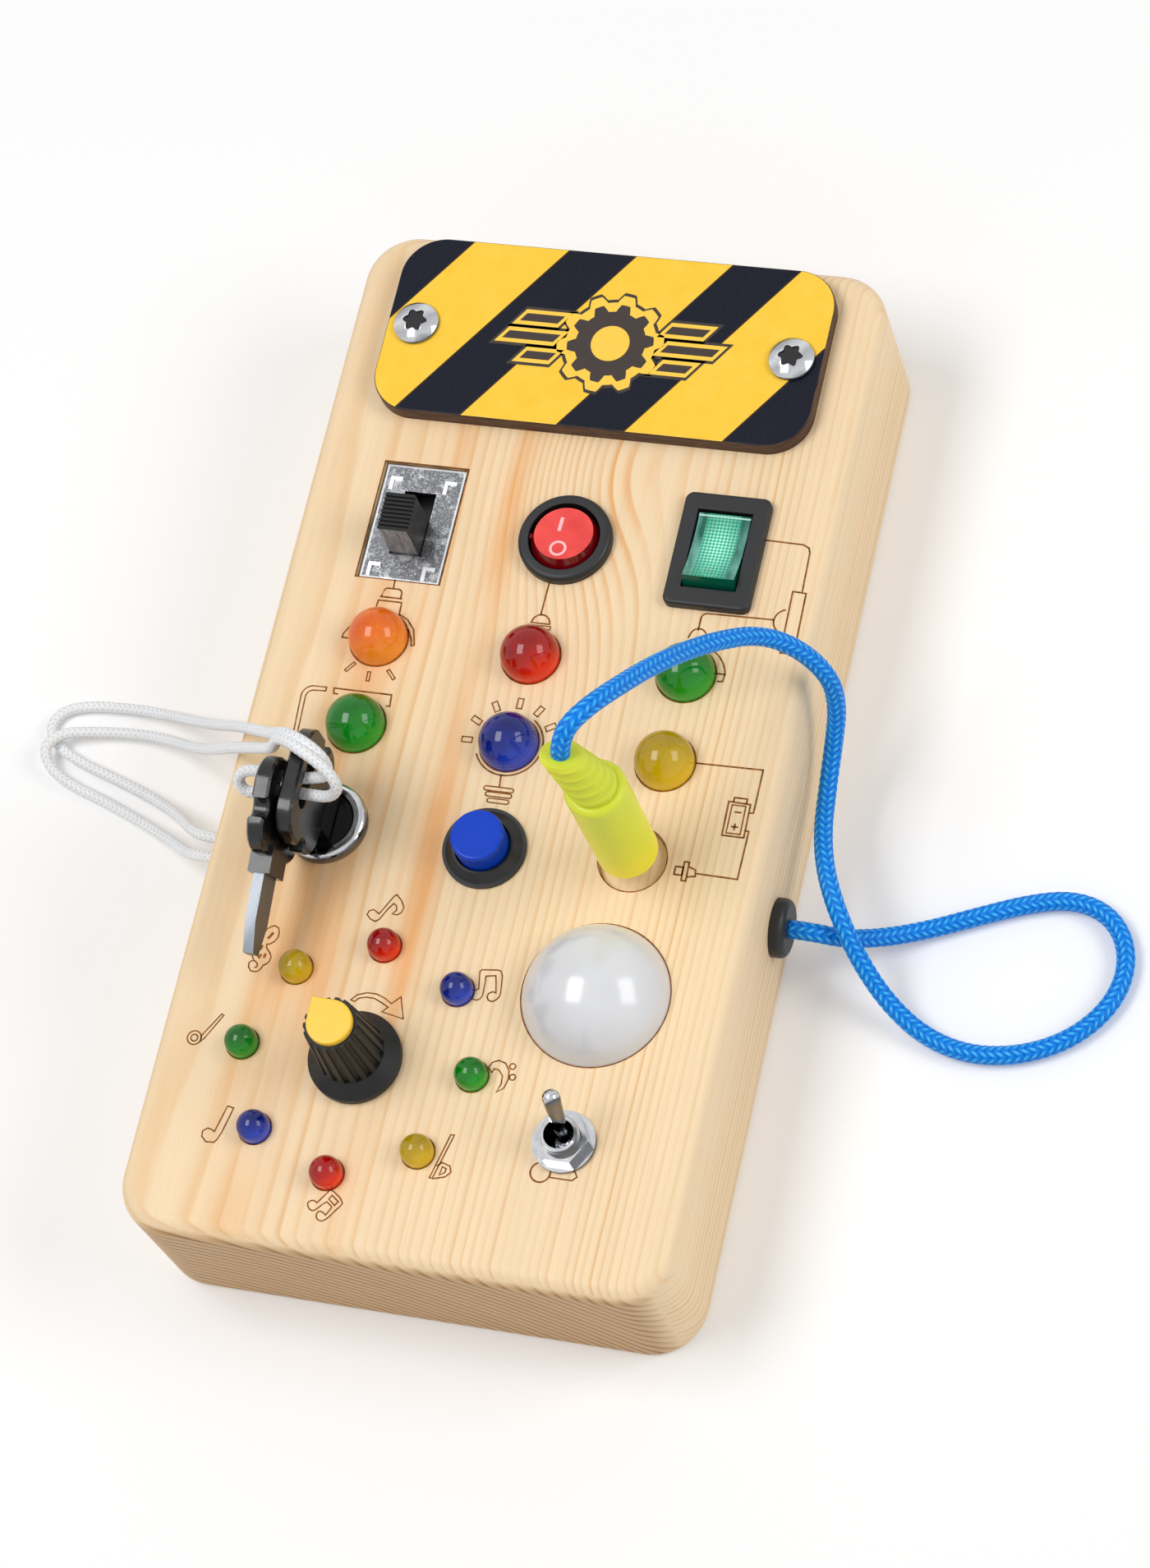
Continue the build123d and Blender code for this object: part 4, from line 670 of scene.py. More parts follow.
def buildPaintedReflectionGroup():
    # Bright metal with a painted reflection: the tone follows which way the surface faces on the object, standing in
    # for the studio's walls mirrored in it
    group, given, out = newGroup(
        "paintedReflectionMetal",
        [("Colour", "Color", (0.7, 0.7, 0.7, 1)), ("Contrast", "Float", 0.6), ("Smudge", "Float", 0.08),
         ("Gloss", "Float", 0.15)],
        [("Colour", "Color"), ("Gloss", "Float")],
    )
    facing = facingAxes(group)
    where = placeCoordinates(group)
    smear = centred(group, noise(group, stretched(group, where, (0.5, 0.5, 0.5)), 3.0))
    sideways = calc(group, "MULTIPLY", facing["X"], -0.45)
    slope = calc(group, "MULTIPLY_ADD", facing["Y"], 0.55, sideways)
    slope = calc(group, "MULTIPLY_ADD", facing["Z"], 0.30, slope)
    slope = calc(group, "MULTIPLY_ADD", smear, 0.25, slope)
    # Painted reflection: light and dark bands by facing direction
    shade = ramp(group, calc(group, "MULTIPLY_ADD", slope, 0.5, 0.5), [
        (0.0, 0.75), (0.20, 0.25), (0.36, 0.10), (0.47, 0.85),
        (0.60, 0.62), (0.70, 1.0), (0.84, 0.30), (1.0, 0.9)])
    darker = calc(group, "SUBTRACT", shade, 1.0)
    level = calc(group, "MULTIPLY_ADD", darker, given["Contrast"], 1.0)
    level = calc(group, "MULTIPLY_ADD", smear, given["Smudge"], level)
    fine = noise(group, where, scale=3.0)
    feed(group, out, {
        "Colour": scaled(group, given["Colour"], level),
        "Gloss": calc(group, "MULTIPLY_ADD", fine, given["Smudge"], given["Gloss"]),
    })
    return group


paintedReflectionGroup = buildPaintedReflectionGroup()


def metal(name, colour, contrast=0.6, smudge=0.08, gloss=0.12):
    material, tree, shader = startMaterial(name, Metallic=1.0)
    # The base colour carries the group's painted reflection
    made = addGroup(tree, paintedReflectionGroup, colour, contrast, smudge, gloss)
    feed(tree, shader.inputs, {"Base Color": made["Colour"], "Roughness": made["Gloss"]})
    return material


slidePlate = {
    "centre": (-26.3, 36.95),
    "half": (7.1, 10.8),
    "rim": 0.35,
}


def nickelSheet():
    # Pressed plate gone mottled: dark specks gather in clouds; a painted highlight makes its folded rims bright, and
    # the raised parts above the plate are made bright too
    material, tree, shader = startMaterial("mottledNickel", Metallic=1.0)
    where = placeCoordinates(tree)
    axis = split(tree, where)
    specks = noise(tree, where, 4.0, 0.75, 4.5)
    clouds = noise(tree, where, 3.0, 0.65, 0.30)
    mix = calc(tree, "MULTIPLY_ADD", clouds, 0.55, calc(tree, "MULTIPLY", specks, 0.55))
    dull = ramp(tree, mix, [(0.42, (0.85, 0.86, 0.88, 1)), (0.50, (0.34, 0.35, 0.37, 1)), (0.56, (0.05, 0.05, 0.06, 1)),
                            (0.64, (0.55, 0.56, 0.58, 1))])
    edgeX = calc(tree, "SUBTRACT", slidePlate["half"][0],
                 calc(tree, "ABSOLUTE", calc(tree, "SUBTRACT", axis["X"], slidePlate["centre"][0])))
    edgeY = calc(tree, "SUBTRACT", slidePlate["half"][1],
                 calc(tree, "ABSOLUTE", calc(tree, "SUBTRACT", axis["Y"], slidePlate["centre"][1])))
    # Painted highlight: a thin band round the plate's edge
    rim = calc(tree, "LESS_THAN", calc(tree, "MINIMUM", edgeX, edgeY), slidePlate["rim"])
    raised = ramp(tree, calc(tree, "SUBTRACT", axis["Z"], 28.0), [(0.45, 0.0), (0.6, 1.0)])
    bright = calc(tree, "MAXIMUM", calc(tree, "MULTIPLY", rim, 0.7), raised)
    tone = blendColours(tree, bright, dull, (0.86, 0.87, 0.90, 1))
    feed(tree, shader.inputs, {
        "Base Color": tone,
        "Roughness": calc(tree, "MULTIPLY_ADD", specks, 0.30, 0.16),
        "Normal": bump(tree, specks, 0.2, 0.00004),
    })
    return material


blackSatin = moulded(
    "blackSatin", finishes["blackSatin"], 0.4, tone=0.25, gloss=0.42, spread=0.2, cloud=3.0,
    grain=0.18, depth=0.35)
blackKnob = moulded(
    "blackKnob", finishes["blackKnob"], 0.3, tone=0.2, gloss=0.46, spread=0.15, cloud=4.0,
    grain=0.2, depth=0.15)
blackGloss = moulded(
    "blackGloss", finishes["blackGloss"], tone=0.3, gloss=0.2, spread=0.25, cloud=2.5,
    grain=0.25, depth=0.2)
chrome = metal("chrome", finishes["chrome"], 0.95, 0.06, 0.06)
steel = metal("brushedSteel", finishes["steel"], 0.35, 0.2, 0.22)
keySteel = metal("keySteel", finishes["keySteel"], 0.35, 0.15, 0.38)
nickel = nickelSheet()


# ---- underside and inner pieces keep their CAD shapes


def plywoodMaterial():
    # Thin peeled veneer: wide wavy rings across the sheet, layers on its edges
    material, tree, shader = startMaterial("plywoodSheet")
    where = placeCoordinates(tree)
    fibre = addGroup(tree, fibreGroup, where)
    wave = noise(tree, stretched(tree, where, (0.06, 0.008, 0.06)), 2.0)
    band = calc(tree, "FRACT", calc(tree, "MULTIPLY", wave, 14.0))
    tone = ramp(tree, band, [(0.0, paint(214, 182, 138)), (0.8, paint(200, 164, 118)), (1.0, paint(214, 182, 138))])
    facing = facingAxes(tree)
    height = split(tree, where)["Z"]
    layer = ramp(tree, calc(tree, "FRACT", calc(tree, "MULTIPLY", height, 1.0)), [(0.45, 0.0), (0.55, 1.0)])
    edge = ramp(tree, calc(tree, "ABSOLUTE", facing["Z"]), [(0.4, 1.0), (0.7, 0.0)])
    layered = blendColours(tree, calc(tree, "MULTIPLY", layer, edge), tone, paint(150, 112, 74))
    level = calc(tree, "MULTIPLY_ADD", centred(tree, fibre["Tone"]), 0.2, 1.0)
    feed(tree, shader.inputs, {
        "Base Color": scaled(tree, layered, level),
        "Roughness": calc(tree, "MULTIPLY_ADD", fibre["Tone"], 0.3, 0.45),
        "Normal": bump(tree, fibre["Tone"], 0.3, 0.00006),
    })
    return material


def dressNode(node, material):
    piece = frame["nodes"][node]
    piece.data.materials.clear()
    piece.data.materials.append(material)


def dressHiddenNodes():
    plywood = plywoodMaterial()
    circuit = moulded("greenBoard", paint(24, 92, 52), tone=0.2, gloss=0.35, grain=0.4, depth=0.1)
    box = moulded("boxPlastic", paint(30, 31, 33), tone=0.2, gloss=0.4, grain=0.3, depth=0.2)
    cell = moulded("cellWrap", paint(46, 118, 74), tone=0.15, gloss=0.25, grain=0.5, depth=0.05)
    zinc = metal("zincScrew", paint(196, 196, 190), 0.4, 0.15, 0.25)
    for node in ("back_cover", "battery_door"):
        dressNode(node, plywood)
    for node in ("ring_board", "dome_board"):
        dressNode(node, circuit)
    for node in ("battery_box", "slide_switch_base", "rotary_switch_body", "plug_socket"):
        dressNode(node, box)
    for node in ("battery_contacts", "lock_nut", "rotary_shaft"):
        dressNode(node, steel)
    dressNode("battery_cells", cell)
    dressNode("push_button_nut", box)
    for node in ("back_cover_screws", "battery_door_screws"):
        smoothCopy(node, zinc)


dressHiddenNodes()
print("hidden pieces dressed")


# ---- where the lamps stand

lamp = {
    "radius": 5.0,
    "height": 30.0,
    "foot": 24.0,
    "flange": 5.7,
    "flangeHeight": 1.2,
    "leg": 0.25,
    "legGap": 1.27,
    "legLength": 4.0,
    "columns": (-26.8, 0.2, 27.2),
    "rows": (14.8, -1.3),
    "names": ("led_orange", "led_red", "led_green_right", "led_green_left", "led_blue", "led_yellow"),
}

smallLamp = {
    "radius": 2.7,
    "height": 30.3,
    "foot": 25.2,
    "flange": 3.1,
    "flangeHeight": 1.0,
    "leg": 0.25,
    "legGap": 1.27,
    "legLength": 3.1,
    "ring": (-12.15, -59.35),
    "ringRadius": 19.8,
    "angles": {
        "ring_leds_red": (90, -90),
        "ring_leds_yellow": (135, -45),
        "ring_leds_green": (180, 0),
        "ring_leds_blue": (45, -135),
    },
}

nightLight = {
    "centre": (24.7, -42.9),
    "radius": 12.3,
    "rise": 9.5,
    "neck": 10.2,
    "bottom": 26.0,
}


def ringPlaces(angles):
    reach = smallLamp["ringRadius"]
    x, y = smallLamp["ring"]
    return [(x + reach * cos(radians(angle)), y + reach * sin(radians(angle))) for angle in angles]


# ---- burnt lines on the face

engraving = {
    "width": 0.30,
    "thin": 0.24,
    "sunk": 0.15,
    "proud": 0.02,
    "dark": paint(104, 58, 18),
    "light": paint(168, 108, 50),
}


def arc(centre, radius, start, end, steps):
    # Points of a circle's arc, its ends in degrees
    angle = np.radians(np.linspace(start, end, steps))
    return np.stack([centre[0] + radius * np.cos(angle), centre[1] + radius * np.sin(angle)], -1)


def along(*pieces):
    # Points and arcs put end to end
    return np.vstack([np.atleast_2d(np.asarray(piece, float)) for piece in pieces])


def burnt(shell, points, closed=False, width=None):
    # A flat bar with mitred corners: each point is pushed half the width
    # along the mean of its two side normals
    width = width or engraving["width"]
    points = np.asarray(points, float)
    if closed:
        before = points - np.roll(points, 1, axis=0)
        after = np.roll(points, -1, axis=0) - points
    else:
        steps = np.diff(points, axis=0)
        before = np.vstack([steps[:1], steps])
        after = np.vstack([steps, steps[-1:]])
    before = before / np.linalg.norm(before, axis=1)[:, None]
    after = after / np.linalg.norm(after, axis=1)[:, None]
    mean = before + after
    mean /= np.maximum(np.linalg.norm(mean, axis=1)[:, None], 1e-6)
    normal = np.stack([-mean[:, 1], mean[:, 0]], -1)
    stretch = 1 / np.maximum(np.einsum("ij,ij->i", mean, after), 0.6)
    offset = normal * (width / 2 * stretch)[:, None]
    left = points + offset
    right = points - offset
    high = np.full(len(points), board["top"] + engraving["proud"])
    low = np.full(len(points), board["top"] - engraving["sunk"])
    rings = np.stack([
        np.column_stack([left, high]), np.column_stack([right, high]),
        np.column_stack([right, low]), np.column_stack([left, low])], 1)
    shell.skin(rings, caps=not closed, loop=closed)


def rod(shell, start, end, width=0.95):
    # A hollow rod drawn as a long box round the line from start to end
    start = np.array(start, float)
    end = np.array(end, float)
    side = np.array([-(end - start)[1], (end - start)[0]]) / np.linalg.norm(end - start) * width / 2
    burnt(shell, [start + side, end + side, end - side, start - side], True, engraving["thin"])


def burnCircuits(shell):
    burnt(shell, [(35.4, 40.7), (41.9, 40.6), (43.0, 40.1), (43.3, 39.2), (43.5, 32.0)])
    burnt(shell, [(41.9, 31.9), (44.2, 31.8), (44.4, 20.6), (42.1, 20.6)], True)
    burnt(shell, arc((42.0, 26.3), 2.2, 105, 255, 12))
    burnt(shell, along((39.9, 26.4), (28.6, 26.2), arc((28.5, 25.2), 1.0, 90, 180, 6), (27.5, 22.9)))
    burnt(shell, along((26.1, 21.4), arc((27.7, 21.9), 1.4, 160, 20, 9), (29.2, 21.6)))
    burnt(shell, arc((28.1, 14.6), 5.7, 62, 8, 10))
    burnt(shell, [(31.9, 15.6), (33.7, 15.6), (33.6, 14.3), (32.6, 14.2)])
    burnt(shell, [(32.3, -0.7), (43.7, -0.5), (43.7, -8.2), (42.9, -8.3)])
    burnt(shell, [(39.2, -6.7), (42.9, -6.8), (43.0, -12.7), (39.3, -12.7)], True)
    burnt(shell, [(40.0, -6.7), (40.0, -5.9), (42.2, -5.9), (42.2, -6.8)])
    burnt(shell, [(39.9, -7.2), (42.2, -7.2), (42.3, -12.2), (39.9, -12.2)], True, engraving["thin"])
    burnt(shell, [(40.5, -8.4), (41.7, -8.4)])
    burnt(shell, [(40.5, -11.0), (41.7, -11.0)])
    burnt(shell, [(41.1, -10.4), (41.1, -11.6)])
    burnt(shell, [(43.0, -11.4), (43.6, -11.5), (43.5, -20.0), (36.6, -19.9)])
    burnt(shell, [(32.9, -19.1), (34.2, -19.1), (34.2, -20.5), (32.9, -20.5)], True)
    burnt(shell, [(34.2, -18.1), (35.0, -18.1), (35.1, -21.4), (34.3, -21.4)], True)
    burnt(shell, [(35.1, -18.9), (36.3, -19.3), (36.5, -20.4), (35.1, -20.7)])


def burnBulbs(shell):
    # Orange lamp: wire, screw cap, shade and rays
    burnt(shell, [(-26.7, 26.0), (-26.6, 24.4)])
    burnt(shell, along((-28.3, 22.7), (-28.2, 23.6), arc((-27.4, 23.5), 0.8, 180, 100, 5),
                       arc((-25.7, 23.5), 0.8, 80, 0, 5), (-24.9, 22.7)))
    for y, half in ((22.6, 2.0), (21.9, 2.2)):
        burnt(shell, [(-26.6 - half, y), (-26.6 + half, y)])
    burnt(shell, [(-28.7, 21.8), (-28.8, 19.6)])
    burnt(shell, [(-24.5, 21.8), (-24.4, 19.4)])
    burnt(shell, [(-31.0, 17.4), (-32.4, 16.6), (-33.3, 15.0), (-33.3, 14.3), (-31.6, 14.3)])
    burnt(shell, [(-24.4, 19.7), (-22.7, 18.9), (-21.2, 17.2), (-20.4, 14.4), (-20.9, 14.2), (-21.2, 15.4), (-22.2, 17.2)])
    rod(shell, (-29.9, 9.9), (-31.2, 8.3), 0.5)
    rod(shell, (-27.0, 8.6), (-26.9, 6.9), 0.5)
    rod(shell, (-23.8, 9.3), (-22.4, 7.8), 0.5)

    # Red lamp: wire and a small domed cap
    burnt(shell, [(0.2, 29.0), (0.1, 22.5)])
    burnt(shell, along((-1.3, 21.0), arc((0.4, 21.0), 1.6, 175, 5, 10), (2.0, 21.0)), True)
    burnt(shell, [(-1.7, 20.6), (2.3, 20.6), (2.3, 20.0), (-1.7, 20.0)], True, engraving["thin"])

    # Blue lamp: ring, rays and screw base
    x, y = lamp["columns"][1], lamp["rows"][1]
    burnt(shell, arc((x, y), 5.75, 205, 415, 40))
    for degrees in (2, 31, 60, 89, 121, 152, 181):
        direction = np.array([cos(radians(degrees)), sin(radians(degrees))])
        middle = np.array([x, y]) + direction * 7.4
        rod(shell, middle - direction * 0.9, middle + direction * 0.9)
    burnt(shell, [(0.1, -6.9), (0.3, -9.1)])
    for middle, y, half in ((0.3, -9.6, 2.2), (0.5, -10.6, 1.9), (0.65, -11.7, 1.5)):
        burnt(shell, along(arc((middle - half, y), 0.38, 90, 270, 7), arc((middle + half, y), 0.38, -90, 90, 7)), True,
              engraving["thin"])

    # Green lamp at the left: bent post and a lamp shade
    burnt(shell, along((-37.3, -6.0), (-37.8, 2.9), arc((-35.8, 2.9), 2.0, 180, 100, 6), (-33.7, 4.9),
                       (-33.7, 4.2), (-35.8, 4.1), arc((-35.7, 2.8), 1.3, 100, 180, 6), (-36.6, -6.0)), True, engraving["thin"])
    burnt(shell, [(-31.4, 3.9), (-32.2, 3.9), (-32.4, 4.9), (-22.1, 4.9), (-21.9, 2.8), (-22.6, 2.8)])


noteMarks = {
    "beamedNotes": [
        (4.2, -45.9), (4.6, -46.4), (5.3, -46.5), (5.8, -46.2), (6.1, -45.6), (6.0, -43.2), (5.9, -42.2), (7.5, -41.9),
        (7.8, -43.0), (8.2, -44.8), (7.6, -44.7), (7.0, -45.1), (6.9, -45.7), (7.2, -46.2), (7.9, -46.4), (8.5, -46.0),
        (8.9, -45.4), (9.0, -44.8), (8.6, -41.8), (8.2, -41.0), (7.6, -40.9), (5.0, -41.2), (4.7, -41.6), (4.9, -42.8),
        (5.2, -44.5), (4.4, -45.1), (4.1, -45.5)],
    "eighthNote": [
        (-14.6, -34.0), (-12.8, -30.6), (-12.4, -30.3), (-11.4, -31.2), (-10.7, -32.3), (-10.9, -33.3), (-11.6, -33.8),
        (-12.4, -33.7), (-11.8, -33.0), (-12.0, -32.2), (-12.6, -31.9), (-13.4, -33.1), (-14.3, -34.9), (-14.9, -35.4),
        (-15.9, -35.1), (-16.6, -34.4), (-16.4, -33.7), (-15.7, -33.4)],
    "quarterNote": [
        (-32.8, -74.9), (-31.7, -70.3), (-30.6, -70.5), (-31.5, -74.7), (-32.0, -76.1), (-32.4, -76.7), (-33.8, -76.8),
        (-34.7, -76.0), (-34.8, -75.1), (-34.1, -74.5), (-33.4, -74.6)],
    "ringStem": [(-39.3, -59.1), (-36.8, -54.9), (-36.4, -55.1), (-38.7, -59.5), (-39.2, -60.1)],
    "beamedPair": [
        (-12.7, -84.1), (-11.0, -81.6), (-10.3, -81.9), (-9.1, -82.7), (-8.5, -83.5), (-8.6, -83.9), (-9.4, -85.0),
        (-10.2, -86.2), (-10.7, -86.7), (-11.2, -87.0), (-11.8, -86.9), (-12.2, -86.5), (-12.3, -86.0), (-12.1, -85.5),
        (-11.7, -85.4), (-11.2, -85.6), (-10.8, -85.9), (-10.4, -85.2), (-10.1, -84.5), (-10.2, -84.3), (-11.1, -83.7),
        (-11.7, -84.2), (-12.3, -84.9), (-12.8, -85.4), (-13.2, -85.5), (-13.7, -85.3), (-14.1, -84.8), (-14.2, -84.3),
        (-13.8, -83.9), (-13.4, -83.8), (-13.0, -83.9)],
    "beamBox": [(-10.5, -82.5), (-9.2, -83.4), (-9.7, -84.1), (-10.9, -83.2)],
    "arrow": [
        (-15.7, -49.4), (-14.8, -48.4), (-13.2, -47.8), (-11.6, -47.8), (-10.1, -48.3), (-8.7, -49.1), (-7.4, -47.7),
        (-6.1, -51.4), (-10.0, -50.7), (-9.1, -49.8), (-10.3, -49.2), (-11.8, -48.6), (-13.2, -48.6), (-14.3, -48.9),
        (-15.0, -49.6)],
    "bassClef": [
        (10.0, -57.5), (10.4, -56.6), (11.4, -56.1), (12.6, -56.4), (13.5, -57.6), (13.7, -59.0), (13.3, -60.6),
        (12.2, -61.5), (12.7, -60.0), (12.6, -58.6), (11.8, -57.7), (11.0, -57.6), (10.7, -58.3)],
    "flatStem": [(6.5, -69.6), (7.1, -69.6), (5.2, -77.2), (4.7, -77.2)],
    "flatInner": [(6.4, -75.1), (7.1, -75.3), (7.0, -76.0), (6.2, -76.5)],
}

openMarks = {
    "clef": [
        (-34.1, -41.5), (-33.3, -40.9), (-33.3, -40.2), (-32.9, -39.2), (-32.3, -38.7), (-31.7, -38.5), (-31.0, -38.8),
        (-30.7, -39.6), (-30.7, -40.4), (-31.1, -41.2), (-31.7, -41.7), (-32.3, -41.9), (-32.2, -42.5), (-31.4, -43.3),
        (-31.0, -44.0), (-31.1, -44.7), (-31.4, -45.2), (-32.0, -45.6), (-32.2, -46.2), (-32.6, -46.7), (-33.1, -46.9),
        (-33.9, -46.8), (-34.4, -46.2), (-34.5, -45.5), (-34.2, -45.1), (-33.6, -45.0), (-33.0, -45.5), (-33.0, -46.0),
        (-33.4, -46.2)],
    "clefSide": [(-33.8, -44.9), (-34.3, -44.2), (-34.7, -43.3), (-34.8, -42.7)],
    "flatLoop": [(5.4, -75.1), (6.2, -74.4), (7.6, -74.8), (8.0, -75.8), (7.2, -76.7), (5.2, -77.3)],
    "leverRod": [(24.2, -74.2), (27.9, -74.2), (28.6, -73.5), (28.1, -72.7), (26.0, -72.9)],
}

clefStrokes = [
    [(-32.4, -40.9), (-32.0, -40.3), (-31.7, -39.7)],
    [(-33.0, -42.1), (-33.1, -42.7), (-33.6, -43.3), (-33.6, -43.8), (-33.0, -44.3), (-32.8, -43.7)],
    [(-32.1, -43.5), (-32.2, -44.3)],
]


def burnNotes(shell):
    for points in noteMarks.values():
        burnt(shell, points, True, engraving["thin"])
    for points in openMarks.values():
        burnt(shell, points, width=engraving["thin"])
    for points in clefStrokes:
        burnt(shell, points, width=0.45)
    burnt(shell, arc((-40.4, -59.6), 1.2, 0, 345, 20), True, engraving["thin"])
    burnt(shell, arc((-40.4, -59.6), 0.6, 0, 330, 12), True, engraving["thin"])
    for place in ((13.9, -56.8), (14.3, -58.6)):
        burnt(shell, arc(place, 0.5, 0, 330, 12), True, engraving["thin"])
    burnt(shell, arc((22.5, -73.6), 1.65, 0, 345, 24), True)


def burnRimsAndGapShade(shell):
    # Scorched rims round the holes, drawn dark all round; partly painted shade for the gaps between the holes and their
    # parts
    for x in lamp["columns"]:
        for y in lamp["rows"]:
            burnt(shell, arc((x, y), lamp["radius"] + 0.15, 0, 355, 60), True, 0.2)
    for x, y in ringPlaces(range(0, 360, 45)):
        burnt(shell, arc((x, y), smallLamp["radius"] + 0.13, 0, 350, 36), True, 0.16)
    burnt(shell, arc(nightLight["centre"], nightLight["radius"] + 0.1, 0, 357, 110), True, 0.22)
    burnt(shell, arc((25.5, -18.8), 5.8, 0, 355, 60), True, 0.2)
    x, y = slidePlate["centre"]
    burnt(shell, [(x - 7.6, y - 11.1), (x + 7.6, y - 11.1), (x + 7.6, y + 11.1), (x - 7.6, y + 11.1)], True, 0.2)


def scorchMaterial():
    material, tree, shader = startMaterial("scorchedWood", **{"Specular IOR Level": 0.2})
    where = placeCoordinates(tree)
    heat = noise(tree, where, 3.0, 0.6, 0.9)
    tone = ramp(tree, heat, [(0.35, engraving["dark"]), (0.68, engraving["light"])])
    skinNode(tree, shader, tone, 0.2, 0.7, 0.1, 2.0, 0.2, 0.2)
    return material


def makeEngraving():
    shell = Shell()
    burnCircuits(shell)
    burnBulbs(shell)
    burnNotes(shell)
    burnRimsAndGapShade(shell)
    addPiece("burnt_lines", shell.mesh("burnt_lines"), "root", scorchMaterial(), creaseAngle=20)


makeEngraving()
print("burnt lines drawn")


# ---- sign plate

sign = {
    "centre": (0.0, 73.5),
    "top": 32.0,
    "stripePeriod": 29.4,
    "stripeHalf": 5.85,
    "stripeLean": 0.716,
    "stripeStart": -15.75,
    "stripeLine": 0.3,
    "print": 0.03,
}


def signMaterial():
    # Slanted stripes: distance from the nearest stripe's middle line, measured across the sheet
    material, tree, shader = startMaterial("printedSign", **{"Specular IOR Level": 0.18})
    where = placeCoordinates(tree)
    axis = split(tree, where)
    lean = calc(tree, "MULTIPLY", calc(tree, "SUBTRACT", axis["Y"], sign["centre"][1]), -sign["stripeLean"])
    across = calc(tree, "SUBTRACT", calc(tree, "ADD", axis["X"], lean), sign["stripeStart"])
    folded = calc(tree, "PINGPONG", across, sign["stripePeriod"] / 2)
    inBand = calc(tree, "LESS_THAN", folded, sign["stripeHalf"])
    inLine = calc(tree, "LESS_THAN", folded, sign["stripeHalf"] + sign["stripeLine"])
    speck = noise(tree, where, 2.0, 0.6, 4.5)
    navy = ramp(tree, speck, [(0.48, finishes["printedNavy"]), (0.74, paint(32, 40, 62))])
    yellow = ramp(tree, noise(tree, where, 3.0, 0.6, 0.3), [(0.3, paint(254, 204, 62)), (0.7, paint(255, 211, 76))])
    striped = blendColours(tree, inBand, blendColours(tree, inLine, yellow, paint(70, 44, 26)), navy)
    layers = noise(tree, stretched(tree, where, (0.15, 0.15, 2.6)), 2.0)
    edge = ramp(tree, layers, [(0.35, paint(58, 40, 34)), (0.5, paint(98, 72, 58)), (0.62, paint(70, 48, 40))])
    onTop = calc(tree, "GREATER_THAN", axis["Z"], sign["top"] - 0.06)
    tone = blendColours(tree, onTop, edge, striped)
    skinNode(tree, shader, tone, 0.05, 0.42, 0.15, 5.0, 0.25, 0.12)
    return material


def flatShape(shell, outline, lower, upper):
    outline = np.asarray(outline, float)
    rings = [np.column_stack([outline, np.full(len(outline), z)]) for z in (lower, upper)]
    shell.skin(np.array(rings))


def cogOutline(centre, outer, inner, teeth, steps=6):
    # Teeth as a squared-off wave round a circle
    angle = np.linspace(0, 2 * pi, teeth * steps * 2, endpoint=False)
    wave = np.clip(np.sin(angle * teeth) * 2.2, -1, 1) * 0.5 + 0.5
    radius = inner + (outer - inner) * wave
    return np.stack([centre[0] + radius * np.cos(angle), centre[1] + radius * np.sin(angle)], -1)


def slantedBar(x, y, half, thick, grow):
    # A bar with slanted ends, grown on every side
    lean = 0.7 * (thick + grow)
    left, right = x - half - grow, x + half + grow
    low, high = y - thick - grow, y + thick + grow
    return [(left - lean, low), (right - lean, low), (right + lean, high), (left + lean, high)]


badge = {
    "centre": (1.5, 73.0),
    "teeth": 10,
    "hub": 3.4,
    "sunk": 0.1,
    "barGap": 9.6,
    "barThick": 0.75,
    "bars": ((3.6, 3.4), (0, 4.6), (-3.6, 2.6)),
    "ink": paint(44, 30, 24),
    "bright": paint(255, 208, 72),
}

badgeLayers = {
    "badge_outline": (10.0, 8.6, 1.3, "ink"),
    "badge_field": (9.4, 8.0, 0.75, "bright"),
    "badge_marks": (7.6, 6.2, 0.0, "ink"),
}


def makeSignBadge():
    # A cog with three plain bars on each side, in layers: outer and inner radius of the cog,
    # growth of the bars and tone
    x, y = badge["centre"]
    low = high = sign["top"]
    low -= badge["sunk"]
    inks = {
        "ink": moulded("signInk", badge["ink"], tone=0.2, gloss=0.45, cloud=2.0, grain=0.2),
        "bright": moulded("signYellow", badge["bright"], tone=0.05, gloss=0.42, grain=0.25),
    }
    for name, (outer, inner, grow, tone) in badgeLayers.items():
        shell = Shell()
        high += sign["print"]
        flatShape(shell, cogOutline((x, y), outer, inner, badge["teeth"]), low, high)
        for side in (-1, 1):
            for row, half in badge["bars"]:
                middle = x + side * (badge["barGap"] + half)
                bar = slantedBar(middle, y + row, half, badge["barThick"], grow)
                flatShape(shell, bar, low, high)
        addPiece(name, shell.mesh(name), "root", inks[tone], creaseAngle=20)
    shell = Shell()
    flatShape(shell, arc((x, y), badge["hub"], 0, 355, 48), low, high + sign["print"])
    addPiece("badge_hub", shell.mesh("badge_hub"), "root", inks["bright"], creaseAngle=20)


signScrew = {
    "places": ((-33.6, 73.2), (33.6, 73.2)),
    "shank": 1.7,
    "radius": 4.0,
    "edge": 0.6,
    "rise": 2.0,
    "socket": 1.85,
    "lobes": 0.16,
    "socketDepth": 1.3,
    "shadow": (1.1, 0.55),
}


